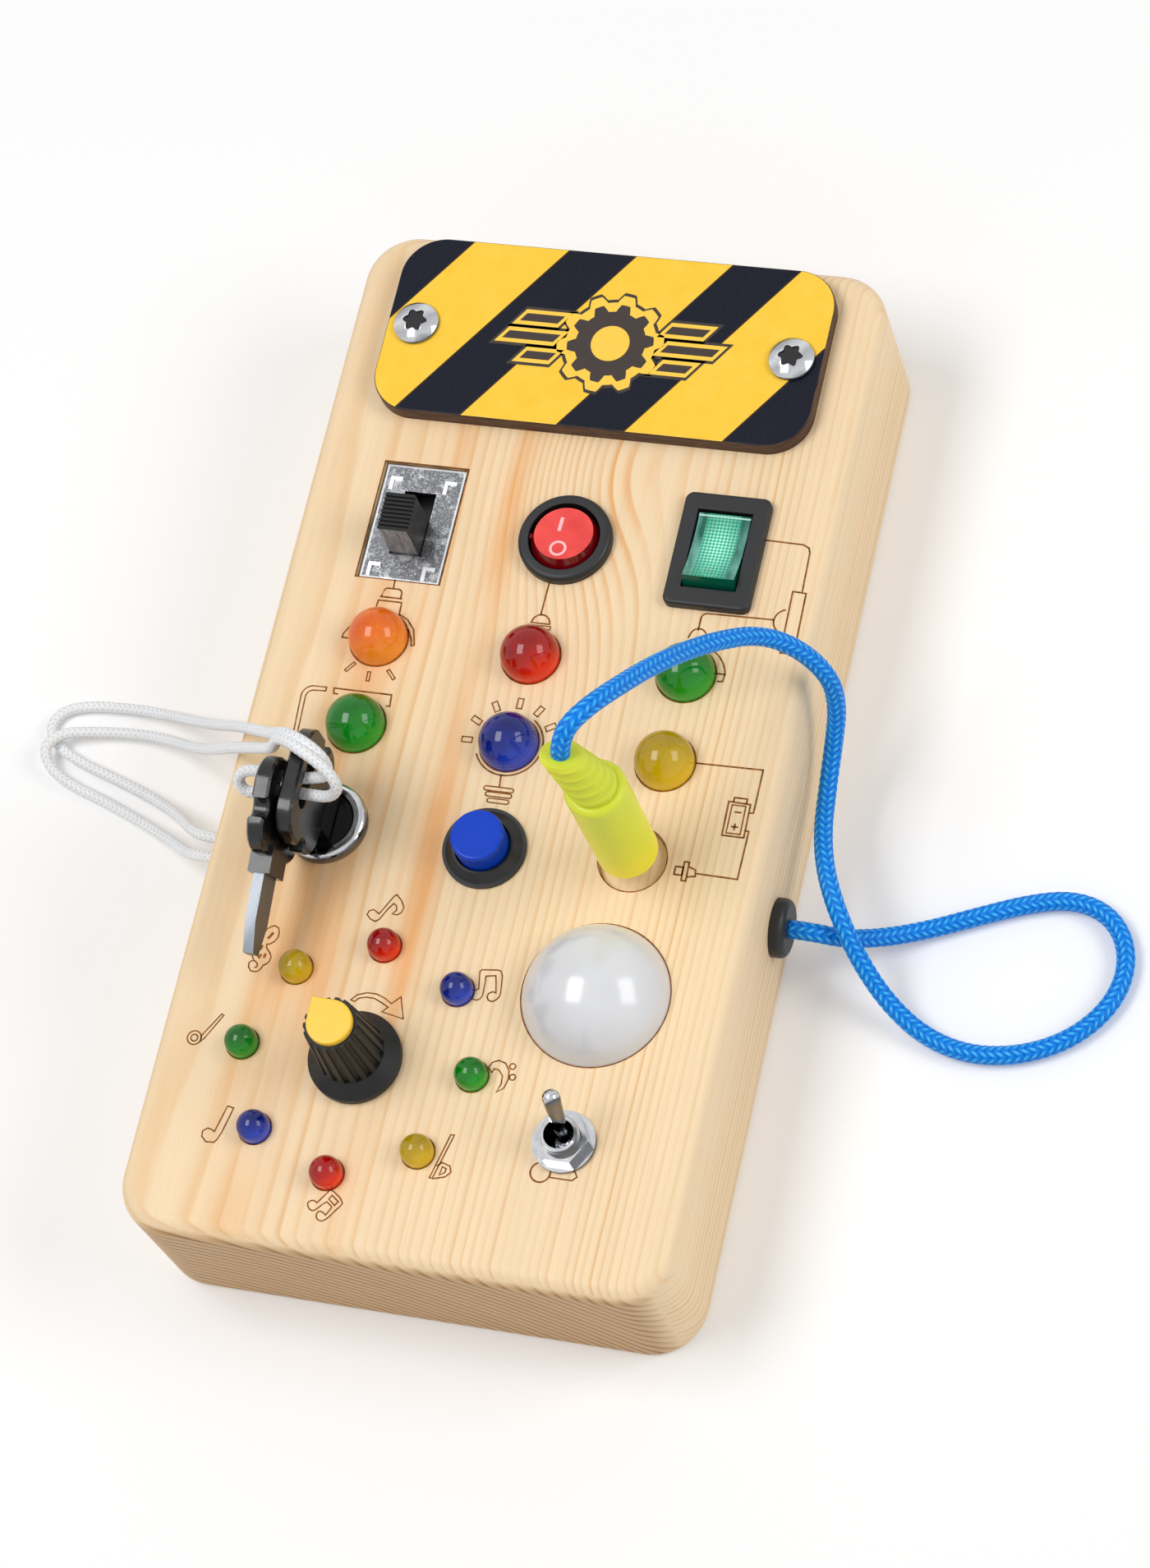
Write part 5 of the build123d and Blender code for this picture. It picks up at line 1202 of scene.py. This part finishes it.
def makeSignScrews():
    # A spherical head with a six-lobed socket: rings slide from the rim circle
    # to the lobed curve, then drop
    shell, socketShade = Shell(), Shell()
    angle = np.linspace(0, 2 * pi, 96, endpoint=False)
    radius, edge, rise = signScrew["radius"], signScrew["edge"], signScrew["rise"]
    drop = rise - edge
    sphere = (radius ** 2 + drop ** 2) / (2 * drop)
    lobed = signScrew["socket"] * (1 + signScrew["lobes"] * np.cos(6 * angle))
    z = sign["top"]
    crown = z + rise
    bottom = crown - signScrew["socketDepth"]
    rings = [
        (signScrew["shank"], z - 6.0), (signScrew["shank"], z + 0.02),
        (radius - 0.15, z + 0.02), (radius, z + 0.2), (radius, z + edge - 0.1)]
    for t in np.linspace(0.02, 0.94, 12):
        reach = radius + (lobed + 0.12 - radius) * t
        rings.append((reach, crown - (sphere - np.sqrt(sphere ** 2 - reach ** 2))))
    mouth = crown - (sphere - np.sqrt(sphere ** 2 - lobed ** 2))
    rings += [
        (lobed + 0.03, mouth - 0.04), (lobed, mouth - 0.18), (lobed * 0.97, bottom),
        (lobed * 0.6, bottom - 0.15), (lobed * 0.05, bottom - 0.3)]
    across, sideways = np.cos(angle), np.sin(angle)
    # Painted shade: a dark disc set inside each socket stands for the shade in it
    lower, upper = (crown - drop for drop in signScrew["shadow"])
    filled = 0.965 * lobed
    for x, y in signScrew["places"]:
        shell.skin([
            np.stack(np.broadcast_arrays(x + r * across, y + r * sideways, h), -1)
            for r, h in rings])
        flatShape(socketShade, np.stack([x + filled * across, y + filled * sideways], -1), lower, upper)
    heads, socketShadeMesh = shell.mesh("sign_screw_heads"), socketShade.mesh("sign_screw_socket_shade")
    addPiece("sign_screw_heads", heads, "root", chrome, ["sign_screws"], 40)
    addPiece("sign_screw_socket_shade", socketShadeMesh, "root", blackGloss, creaseAngle=30)


smoothCopy("sign_plate", signMaterial())
makeSignBadge()
makeSignScrews()
print("sign finished")


# ---- switches


slideKnob = {
    "frontFace": 31.7,
    "black": paint(21, 21, 22),
    "reflectionDark": paint(74, 74, 75),
    "reflectionLight": paint(140, 140, 140),
}


def slideKnobMaterial():
    # Painted reflection: the front face, facing −Y, is painted pale grey with streaks; the rest stays black
    material, tree, shader = startMaterial("slideKnobPlastic", **{"Specular IOR Level": 0.3})
    where = placeCoordinates(tree)
    axis = split(tree, where)
    facing = facingAxes(tree)
    front = calc(tree, "MULTIPLY", calc(tree, "LESS_THAN", facing["Y"], -0.7),
                 calc(tree, "LESS_THAN", axis["Y"], slideKnob["frontFace"]))
    streakNoise = noise(tree, stretched(tree, where, (3.0, 0.4, 0.4)), 2.0)
    # Painted reflection on the front face
    pale = ramp(tree, streakNoise, [(0.35, slideKnob["reflectionDark"]), (0.65, slideKnob["reflectionLight"])])
    tone = blendColours(tree, front, slideKnob["black"], pale)
    skinNode(tree, shader, tone, 0.25, 0.4, 0.2, 3.0, 0.18, 0.25)
    return material


def makeSlideSwitch():
    smoothCopy("slide_switch_plate", nickel)
    smoothCopy("slide_knob", slideKnobMaterial())


roundRocker = {
    "centre": (1.4, 36.5),
    "pivot": 29.2,
    "tilt": -6.0,
    "rise": 2.4,
    "barPlace": (-0.9, 1.75),
    "bar": (0.3, 1.35),
    "ringPlace": (-0.25, -3.0),
    "ring": (1.5, 1.05),
    "proud": 0.03,
}

greenRocker = {
    "centre": (28.0, 37.1),
    "brightHalf": 3.0,
    "endLine": 6.35,
    "ringPlace": -4.1,
    "ringRadius": 1.45,
}


def prismDots(tree, axis, pitch, spread):
    # Bright where the two waves of the grid peak together
    waveX = calc(tree, "SINE", calc(tree, "MULTIPLY", axis["X"], 2 * pi / pitch))
    waveY = calc(tree, "SINE", calc(tree, "MULTIPLY", axis["Y"], 2 * pi / pitch))
    both = calc(tree, "MULTIPLY_ADD", calc(tree, "ADD", waveX, waveY), 0.25, 0.5)
    return ramp(tree, both, [(0.5 - spread, 0.0), (0.5 + spread, 1.0)])


def lensMaterial(name, wall, face, **constants):
    # face(tree, axis, where) paints the top, wall is the tone of the sides
    material, tree, shader = startMaterial(name, **constants)
    where = placeCoordinates(tree)
    axis = split(tree, where)
    facing = facingAxes(tree)
    onTop = ramp(tree, facing["Z"], [(0.72, 0.0), (0.90, 1.0)])
    top = face(tree, axis, where)
    tone = blendColours(tree, onTop, wall, top)
    skinNode(tree, shader, tone, 0.05, 0.14, 0.05, 3.0, 0.3, 0.04)
    tree.links.new(blendColours(tree, onTop, (0, 0, 0, 1), top), shader.inputs["Emission Color"])
    return material


def redFace(tree, axis, where):
    dots = prismDots(tree, axis, 0.45, 0.3)
    body = ramp(tree, noise(tree, where, 2.0, 0.5, 0.16), [(0.35, paint(214, 34, 36)), (0.65, paint(240, 66, 62))])
    return blendColours(tree, calc(tree, "MULTIPLY", dots, 0.35), body, paint(255, 106, 96))


def greenFace(tree, axis, where):
    # A lit dotted strip down the middle, duller glassy strips beside it, pale lines at both ends
    x, y = greenRocker["centre"]
    offX = calc(tree, "ABSOLUTE", calc(tree, "SUBTRACT", axis["X"], x))
    offY = calc(tree, "SUBTRACT", axis["Y"], y)
    dots = prismDots(tree, axis, 0.62, 0.22)
    glow = calc(tree, "MULTIPLY", bell(tree, offX, 0.0, 3.4), bell(tree, offY, 0.4, 5.6))
    lit = blendColours(tree, dots, paint(12, 172, 132), paint(184, 255, 230))
    strip = blendColours(tree, calc(tree, "MULTIPLY", glow, 0.95), paint(4, 128, 100), lit)
    side = ramp(tree, noise(tree, stretched(tree, where, (0.5, 0.12, 0.5)), 2.0),
                [(0.35, paint(20, 92, 76)), (0.65, paint(112, 176, 160))])
    inner = ramp(tree, calc(tree, "SUBTRACT", offX, greenRocker["brightHalf"] - 0.5), [(0.4, 0.0), (0.6, 1.0)])
    body = blendColours(tree, inner, strip, side)
    fromRing = calc(tree, "SUBTRACT", offY, greenRocker["ringPlace"])
    distance = calc(tree, "SQRT", calc(tree, "ADD", calc(tree, "MULTIPLY", offX, offX),
                                       calc(tree, "MULTIPLY", fromRing, fromRing)))
    ring = calc(tree, "LESS_THAN", calc(tree, "ABSOLUTE", calc(tree, "SUBTRACT", distance, greenRocker["ringRadius"])), 0.15)
    body = blendColours(tree, calc(tree, "MULTIPLY", ring, 0.45), body, paint(70, 214, 176))
    ends = calc(tree, "ABSOLUTE", calc(tree, "SUBTRACT", calc(tree, "ABSOLUTE", offY), greenRocker["endLine"]))
    line = calc(tree, "LESS_THAN", ends, 0.14)
    return blendColours(tree, calc(tree, "MULTIPLY", line, 0.7), body, paint(206, 240, 232))


def tilted(points, rocker):
    # Turned about the X axis through the rocker's pivot
    lean = radians(rocker["tilt"])
    x, y, z = (np.asarray(points, float)[..., k] for k in range(3))
    centreX, centreY = rocker["centre"]
    return np.stack([centreX + x, centreY + y * cos(lean) - z * sin(lean),
                     rocker["pivot"] + y * sin(lean) + z * cos(lean)], -1)


def makeRoundRocker():
    smoothCopy("round_rocker_body", blackSatin)
    red = lensMaterial("redLens", paint(112, 2, 12), redFace,
                       **{"Specular IOR Level": 0.4, "Coat Weight": 0.2, "Emission Strength": 0.10})
    smoothCopy("round_rocker_lens", red, crease=25)
    low = roundRocker["rise"] - 0.1
    high = roundRocker["rise"] + roundRocker["proud"]
    shell = Shell()
    halfX, halfY = roundRocker["bar"]
    bar = roundedBox(halfX, halfY, 0.1, 3) + roundRocker["barPlace"]
    shell.skin(tilted([np.column_stack([bar, np.full(len(bar), z)]) for z in (low, high)], roundRocker))
    outer, inner = roundRocker["ring"]
    profile = np.array([(inner, low), (outer, low), (outer, high), (inner, high)])
    ring = turned(profile, 48) + (*roundRocker["ringPlace"], 0)
    shell.skin(tilted(ring, roundRocker), caps=False, loop=True)
    pale = moulded("paleMark", paint(255, 196, 198), tone=0.05, gloss=0.3, grain=0.3, depth=0.05)
    addPiece("round_rocker_marks", shell.mesh("round_rocker_marks"), nodeBody["round_rocker_lens"], pale,
             creaseAngle=30)


def makeGreenRocker():
    smoothCopy("green_rocker_body", blackSatin)
    green = lensMaterial("greenLens", paint(0, 84, 62), greenFace,
                         **{"Specular IOR Level": 0.35, "Emission Strength": 0.14})
    smoothCopy("green_rocker_lens", green, crease=25)


makeSlideSwitch()
makeRoundRocker()
makeGreenRocker()
print("switches finished")


# ---- lamps and the night light

resinTones = {
    "orange": (paint(216, 86, 2), paint(240, 118, 10), paint(255, 152, 44), 0.6),
    "red": (paint(124, 0, 0), paint(172, 2, 0), paint(240, 44, 6), 0.1),
    "green": (paint(0, 84, 8), paint(0, 124, 14), paint(30, 164, 34), 0.1),
    "blue": (paint(2, 12, 84), paint(2, 30, 140), paint(36, 70, 200), 0.1),
    "yellow": (paint(156, 126, 0), paint(190, 158, 0), paint(226, 188, 24), 0.25),
}


def resinMaterial(colour):
    # Tinted resin: deep tone above, and painted light: a lighter tone low on the side away from the softboxes, where
    # light would gather
    deep, middle, light, flecked = resinTones[colour]
    material, tree, shader = startMaterial(
        colour + "Resin",
        **{"Specular IOR Level": 0.3, "Coat Weight": 0.25, "Coat Roughness": 0.05, "Subsurface Weight": 0.1,
           "Subsurface Scale": 0.002, "Emission Strength": 0.04})
    facing = facingAxes(tree)
    low = calc(tree, "MULTIPLY_ADD", facing["X"], 0.55, calc(tree, "MULTIPLY", facing["Y"], -0.65))
    low = calc(tree, "MULTIPLY_ADD", facing["Z"], -0.35, low)
    paintedGather = ramp(tree, calc(tree, "MULTIPLY_ADD", low, 0.5, 0.5), [(0.35, 0.0), (0.62, 0.30), (0.85, 1.0)])
    where = placeCoordinates(tree)
    clouds = noise(tree, where, 2.0, 0.5, 0.22)
    body = ramp(tree, clouds, [(0.22, deep), (0.78, middle)])
    flecks = ramp(tree, noise(tree, where, 2.0, 0.5, 2.0), [(0.62, 0.0), (0.72, 1.0)])
    tone = blendColours(tree, paintedGather, body, light)
    tone = blendColours(tree, calc(tree, "MULTIPLY", flecks, flecked), tone, light)
    skinNode(tree, shader, tone, 0.05, 0.10, 0.03, 2.0, 0.4, 0.003)
    # Painted glow: the same tone fed to emission
    tree.links.new(tone, shader.inputs["Emission Color"])
    return material


resins = {colour: resinMaterial(colour) for colour in resinTones}


def lampShape(shell, size, x, y):
    # A dome on a straight stem with a flange at its foot, and two legs
    radius, height, foot = size["radius"], size["height"], size["foot"]
    flange, lift = size["flange"], size["flangeHeight"]
    rise = np.linspace(0, pi / 2, 22)
    dome = np.stack([radius * np.cos(rise), height + radius * np.sin(rise)], -1)
    dome[-1, 0] = 0
    low = foot - lift
    stem = softened([
        (0, low), (flange, low, 0.15), (flange, foot, 0.15), (radius, foot, 0.1), (radius, height)])
    skinTurned(shell, np.vstack([stem, dome[1:]]), 64, (x, y))
    tip, root = low - size["legLength"], low + 0.1
    for side in (-1, 1):
        leg = [(0, tip), (size["leg"], tip), (size["leg"], root), (0, root)]
        skinTurned(shell, leg, 8, (x + side * size["legGap"], y))


def makeLamps():
    places = [(x, y) for y in lamp["rows"] for x in lamp["columns"]]
    for name, (x, y) in zip(lamp["names"], places):
        shell = Shell()
        lampShape(shell, lamp, x, y)
        colour = name.split("_")[1]
        addPiece(name + "_resin", shell.mesh(name), "root", resins[colour], [name], 50)
    for name, angles in smallLamp["angles"].items():
        shell = Shell()
        for x, y in ringPlaces(angles):
            lampShape(shell, smallLamp, x, y)
        colour = name.split("_")[-1]
        addPiece(name + "_resin", shell.mesh(name), "root", resins[colour], [name], 50)


def makeNightLight():
    milky, tree, shader = startMaterial(
        "milkyPlastic", **{"Coat Weight": 0.5, "Coat Roughness": 0.12, "Subsurface Weight": 0.1, "Subsurface Scale": 0.002})
    where = placeCoordinates(tree)
    haze = noise(tree, where, 2.0, 0.5, 0.08)
    tone = ramp(tree, haze, [(0.3, paint(218, 219, 223)), (0.7, paint(228, 229, 232))])
    skinNode(tree, shader, tone, 0.03, 0.2, 0.08, 6.0, 0.5, 0.03)
    shell = Shell()
    radius, rise = nightLight["radius"], nightLight["rise"]
    sphere = (radius ** 2 + rise ** 2) / (2 * rise)
    angle = np.linspace(np.arcsin(radius / sphere), 0, 40)
    middle = board["top"] + rise - sphere
    dome = np.stack([sphere * np.sin(angle), middle + sphere * np.cos(angle)], -1)
    dome[-1, 0] = 0
    neck, low, rim = nightLight["neck"], nightLight["bottom"], board["top"] - 0.01
    skirt = [(0, low), (neck, low), (neck, rim), (radius - 0.05, rim)]
    skinTurned(shell, np.vstack([skirt, dome]), 128, nightLight["centre"])
    addPiece("night_light_dome", shell.mesh("night_light_dome"), "root", milky, ["dome_lens"], 50)


makeLamps()
makeNightLight()
print("lamps finished")


# ---- knob, button, plug, toggle, lock, keys and outlets


def makeControls():
    capYellow = moulded(
        "capYellow", finishes["capYellow"], tone=0.06, gloss=0.3, spread=0.1, cloud=3.0,
        grain=0.25, depth=0.08)
    buttonBlue = moulded(
        "buttonBlue", finishes["buttonBlue"], 0.25, tone=0.08, gloss=0.22, spread=0.08, cloud=4.0,
        grain=0.3, depth=0.05)
    smoothCopy("knob", blackKnob, crease=28)
    smoothCopy("knob_cap", capYellow, crease=30)
    smoothCopy("push_button_body", blackSatin)
    smoothCopy("push_button_cap", buttonBlue)


plug = {
    "centre": (25.5, -18.8),
    "foot": 32.6,
    "shoulder": 58.6,
    "floor": 27.5,
    "floorThickness": 0.4,
    "hole": (5.6, 1.95),
}


def limeVinyl():
    # Soft clear vinyl: yellower and brighter near the foot, partly a painted light where light gathers, greener up the
    # tail
    material, tree, shader = startMaterial(
        "limeVinyl", **{"Subsurface Weight": 0.4, "Subsurface Scale": 0.003, "Specular IOR Level": 0.35,
                        "Emission Strength": 0.08})
    where = placeCoordinates(tree)
    axis = split(tree, where)
    drift = calc(tree, "MULTIPLY_ADD", noise(tree, where, 3.0, 0.6, 0.16), 12.0, axis["Z"])
    above = calc(tree, "SUBTRACT", drift, plug["foot"])
    share = calc(tree, "DIVIDE", above, plug["shoulder"] - plug["foot"])
    tone = ramp(tree, share, [
        (0.15, paint(248, 232, 50)), (0.55, paint(226, 226, 52)), (1.0, paint(214, 222, 60))])
    skinNode(tree, shader, tone, 0.10, 0.32, 0.12, 5.0, 0.3, 0.05)
    # Painted glow: the same tone fed to emission, though the plug is no lamp
    tree.links.new(tone, shader.inputs["Emission Color"])
    return material


def makePlug():
    lime = limeVinyl()
    smoothCopy("plug_body", lime)
    smoothCopy("plug_strain_relief", lime, crease=60)
    smoothCopy("plug_pin", chrome)

    # Wooden floor of the hole, with room for the pin
    outer, inner = plug["hole"]
    low, high = plug["floor"], plug["floor"] + plug["floorThickness"]
    profile = [(inner, low), (outer, low), (outer, high), (inner, high)]
    shell = Shell()
    skinTurned(shell, profile, 64, plug["centre"], True)
    addPiece("plug_hole_floor", shell.mesh("plug_hole_floor"), "root", pineWood, creaseAngle=30)


toggle = {
    "centre": (25.3, -68.2),
    "thread": (2.9, 3.02, 3.2),
    "from": 31.9,
    "to": 33.4,
    "pitch": 0.5,
}


def makeToggle():
    for node in ("toggle_body", "toggle_washer", "toggle_nut", "toggle_lever"):
        smoothCopy(node, chrome)

    # Thread above the nut: the sleeve's radius swings with the height
    inner, root, crest = toggle["thread"]
    z = np.linspace(toggle["from"], toggle["to"], 25)
    wave = root + (crest - root) * (0.5 - 0.5 * np.cos(2 * pi * (z - toggle["from"]) / toggle["pitch"]))
    outside = np.column_stack([wave, z])
    profile = np.vstack([outside, [(inner, toggle["to"]), (inner, toggle["from"])]])
    shell = Shell()
    skinTurned(shell, profile, 72, toggle["centre"], True)
    addPiece("toggle_thread", shell.mesh("toggle_thread"), "root", chrome, creaseAngle=50)


def makeLock():
    smoothCopy("lock_body", chrome)
    smoothCopy("lock_rotor", blackGloss)
    for node in ("key_head", "spare_key_head"):
        smoothCopy(node, blackGloss)
    for node in ("key_blade", "spare_key_blade"):
        smoothCopy(node, keySteel)


def makeOutlets():
    for node in ("cord_outlet_right", "cord_outlet_left"):
        smoothCopy(node, blackSatin)


makeControls()
makePlug()
makeToggle()
makeLock()
makeOutlets()
print("controls finished")


# ---- cords

blueCord = {
    "diameter": 3.2,
    "columns": 8,
    "pitch": 1.35,
    "slant": 0.9,
    "twist": 0.02,
    "relief": 0.20,
    "around": 64,
    "spacing": 0.21,
    "route": [
        (49.5, -21, 12), (53.4, -21, 12), (57.6, -20.2, 8.6), (62.8, -17.7, 4.4), (69.6, -14.4, 2.0),
        (77.6, -10.7, 1.7), (85.6, -7.3, 1.7), (92.6, -5.6, 1.8), (98.6, -7, 1.7), (102.6, -11.4, 1.8),
        (103.8, -17.6, 1.7), (101.8, -24.2, 1.8), (96.6, -30, 1.7), (89.2, -33.8, 1.8), (80.8, -34.9, 1.7),
        (73, -32.9, 2), (66.6, -29, 4.4), (61.6, -24.2, 9.4), (57.8, -18.8, 14.6), (54.4, -12.2, 16),
        (52, -4.6, 14.6), (51, 3.6, 13.6), (51.2, 10.6, 16.8), (52.2, 14.6, 23.4), (51.8, 16.6, 30.8),
        (47.6, 18, 37.4), (42.2, 17.2, 43.4), (36.8, 11, 52), (32.2, 2.2, 62), (28.8, -6.6, 70.2),
        (26, -12.6, 74.4), (22.9, -16.7, 73.3), (22.2, -18.3, 68.9),
    ],
}

whiteCord = {
    "diameter": 2.0,
    "columns": 8,
    "pitch": 1.0,
    "slant": 0.8,
    "twist": 0.03,
    "relief": 0.11,
    "around": 48,
    "spacing": 0.20,
    "routeA": [
        (-49.5, -18.2, 12), (-54.2, -18.2, 12), (-58.6, -16.4, 9.3), (-63.5, -12.2, 5), (-70.5, -8.4, 1.7),
        (-79, -5.4, 1.2), (-86, -3.2, 1.1), (-90.8, -0.8, 1.1), (-93.4, 2.6, 1.2), (-91.4, 6.2, 1.1),
        (-86.6, 7.6, 1.2), (-79, 7.9, 1.3), (-71.4, 6.9, 3), (-64.4, 4.4, 8), (-57.4, 1, 15.8),
        (-51, -2.6, 25), (-45.4, -5.8, 33.2), (-38.6, -9, 40.2),
    ],
    "routeBight": [
        (-35.2, -10.6, 43.7), (-32.6, -12.2, 48.4), (-29.6, -13.6, 52.2), (-25.6, -15.2, 53.2),
        (-22.2, -17, 51.4), (-22, -18.4, 47.8), (-25.4, -18.8, 46.8), (-29.8, -19.4, 47),
        (-34, -18.8, 47.3), (-37.2, -18.9, 46.8), (-38.4, -20.2, 45), (-37, -21.4, 43.4),
        (-34, -21, 43.8), (-29.8, -20.7, 44.5), (-25.6, -21.2, 45.7), (-21.4, -21.6, 46.4),
        (-19.2, -20.8, 49.6), (-21.6, -18.8, 52.6), (-26, -16.8, 54), (-30.2, -14.6, 52.2),
        (-32.6, -13.4, 47.8), (-34.55, -13.175, 43.6),
    ],
    "routeB": [
        (-49.5, -21.8, 12), (-54, -21.8, 12), (-58.5, -20.4, 8.8), (-64, -16.8, 4.4), (-71.5, -13, 1.5),
        (-79.4, -9.9, 1.1), (-86, -7.9, 1.4), (-90.4, -5.8, 2.2), (-92.4, -2.4, 3.5), (-90, 0.8, 3.5),
        (-85.2, 2.2, 2.3), (-77.6, 3.2, 1.5), (-70.2, 2.2, 3.4), (-63.2, -0.8, 8.6), (-57, -4, 16.4),
        (-51.4, -7.2, 25.2), (-47, -9.4, 32), (-42.6, -10.9, 36.6), (-38, -12.2, 40.6),
    ],
}


def routeLine(name, points):
    # Points of the smooth line that the route's control points make, in metres
    curve = bpy.data.curves.new(name, "CURVE")
    curve.dimensions = "3D"
    spline = curve.splines.new("NURBS")
    spline.points.add(len(points) - 1)
    for point, place in zip(spline.points, points):
        point.co = (place[0] * mm, place[1] * mm, place[2] * mm, 1)
    spline.order_u = 3
    spline.use_endpoint_u = True
    spline.resolution_u = 24
    holder = bpy.data.objects.new(name, curve)
    mesh = bpy.data.meshes.new_from_object(holder)
    line = np.zeros(len(mesh.vertices) * 3)
    mesh.vertices.foreach_get("co", line)
    bpy.data.objects.remove(holder)
    bpy.data.meshes.remove(mesh)
    return line.reshape(-1, 3)


def braidedTube(cord, line):
    # Stitches in columns round the cord, slanted one way in even columns and the other way in odd ones:
    # height = |sin(pi (s / pitch +- slant (f - 1/2)))|^0.5 (0.5 + 0.5 sin(pi f)^0.5), f across the column
    path, at = evenly(line / mm, cord["spacing"])
    side, other = sweptNormals(path)
    angle = np.arange(cord["around"]) * 2 * pi / cord["around"]
    s = at[:, None]
    a = angle[None, :]
    place = cord["columns"] * a / (2 * pi) + cord["twist"] * s
    column = np.floor(place)
    f = place - column
    way = np.where(column % 2 == 0, 1.0, -1.0)
    stitch = s / cord["pitch"] + way * (f - 0.5) * cord["slant"]
    height = np.abs(np.sin(pi * stitch)) ** 0.5 * (0.5 + 0.5 * np.sin(pi * f) ** 0.5)
    radius = cord["diameter"] / 2 - cord["relief"] * (1 - height)
    rings = path[:, None, :] + radius[..., None] * (
        np.cos(a)[..., None] * side[:, None, :] + np.sin(a)[..., None] * other[:, None, :])
    extra = np.stack([np.broadcast_to(s, radius.shape), np.broadcast_to(a, radius.shape), height], -1)
    shell = Shell()
    shell.skin(rings, caps=True, extra=extra)
    return shell, at[-1]


def braidMaterial(name, deep, middle, light, sheen, gloss):
    # Painted shade and highlight: stitch tone comes from the relief, dark in the gaps and pale on the crowns, and thin
    # threads run along it
    material, tree, shader = startMaterial(name, **{"Specular IOR Level": 0.2, "Sheen Weight": sheen})
    relief = add(tree, "Attribute", attribute_name="relief").outputs["Fac"]
    along = add(tree, "Attribute", attribute_name="along").outputs["Fac"]
    around = add(tree, "Attribute", attribute_name="around").outputs["Fac"]
    threads = add(tree, "CombineXYZ", {
        "X": calc(tree, "MULTIPLY", along, 7.0), "Y": calc(tree, "MULTIPLY", around, 12.0)})
    thread = noise(tree, threads.outputs[0], 2.0)
    lit = calc(tree, "MULTIPLY_ADD", calc(tree, "SUBTRACT", thread, 0.5), 0.7, relief)
    tone = ramp(tree, lit, [(0.2, deep), (0.6, middle), (0.85, middle), (1.1, light)])
    skinNode(tree, shader, tone, 0.12, gloss, 0.15, 6.0, 0.12, 0.3)
    return material


def makeBlueCord():
    line = routeLine("blueLine", blueCord["route"])
    shell, length = braidedTube(blueCord, line)
    material = braidMaterial("blueBraid", paint(0, 82, 192), paint(0, 134, 234), paint(92, 210, 255), 0.02, 0.42)
    cord = addPiece("blue_braided_cord", shell.mesh("blue_braided_cord"), None, material, ["blue_cord"], 60)
    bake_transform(cord)
    print("blue cord", round(length, 1), "mm")


def makeWhiteCord():
    whole = whiteCord["routeA"] + whiteCord["routeBight"] + whiteCord["routeB"][::-1]
    line = routeLine("whiteLine", whole)
    shell, length = braidedTube(whiteCord, line)
    material = braidMaterial("whiteBraid", paint(196, 199, 204), paint(240, 241, 243), paint(252, 252, 252), 0.1, 0.35)
    cord = addPiece("white_braided_loop", shell.mesh("white_braided_loop"), None, material,
                    ["white_cord_a", "white_cord_b", "white_cord_bight"], 60)
    # The bend starts above the face, so that the turned loop passes over the lamps
    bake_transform(cord)
    print("white loop", round(length, 1), "mm")


makeBlueCord()
makeWhiteCord()


scene.view_settings.view_transform = "Standard"
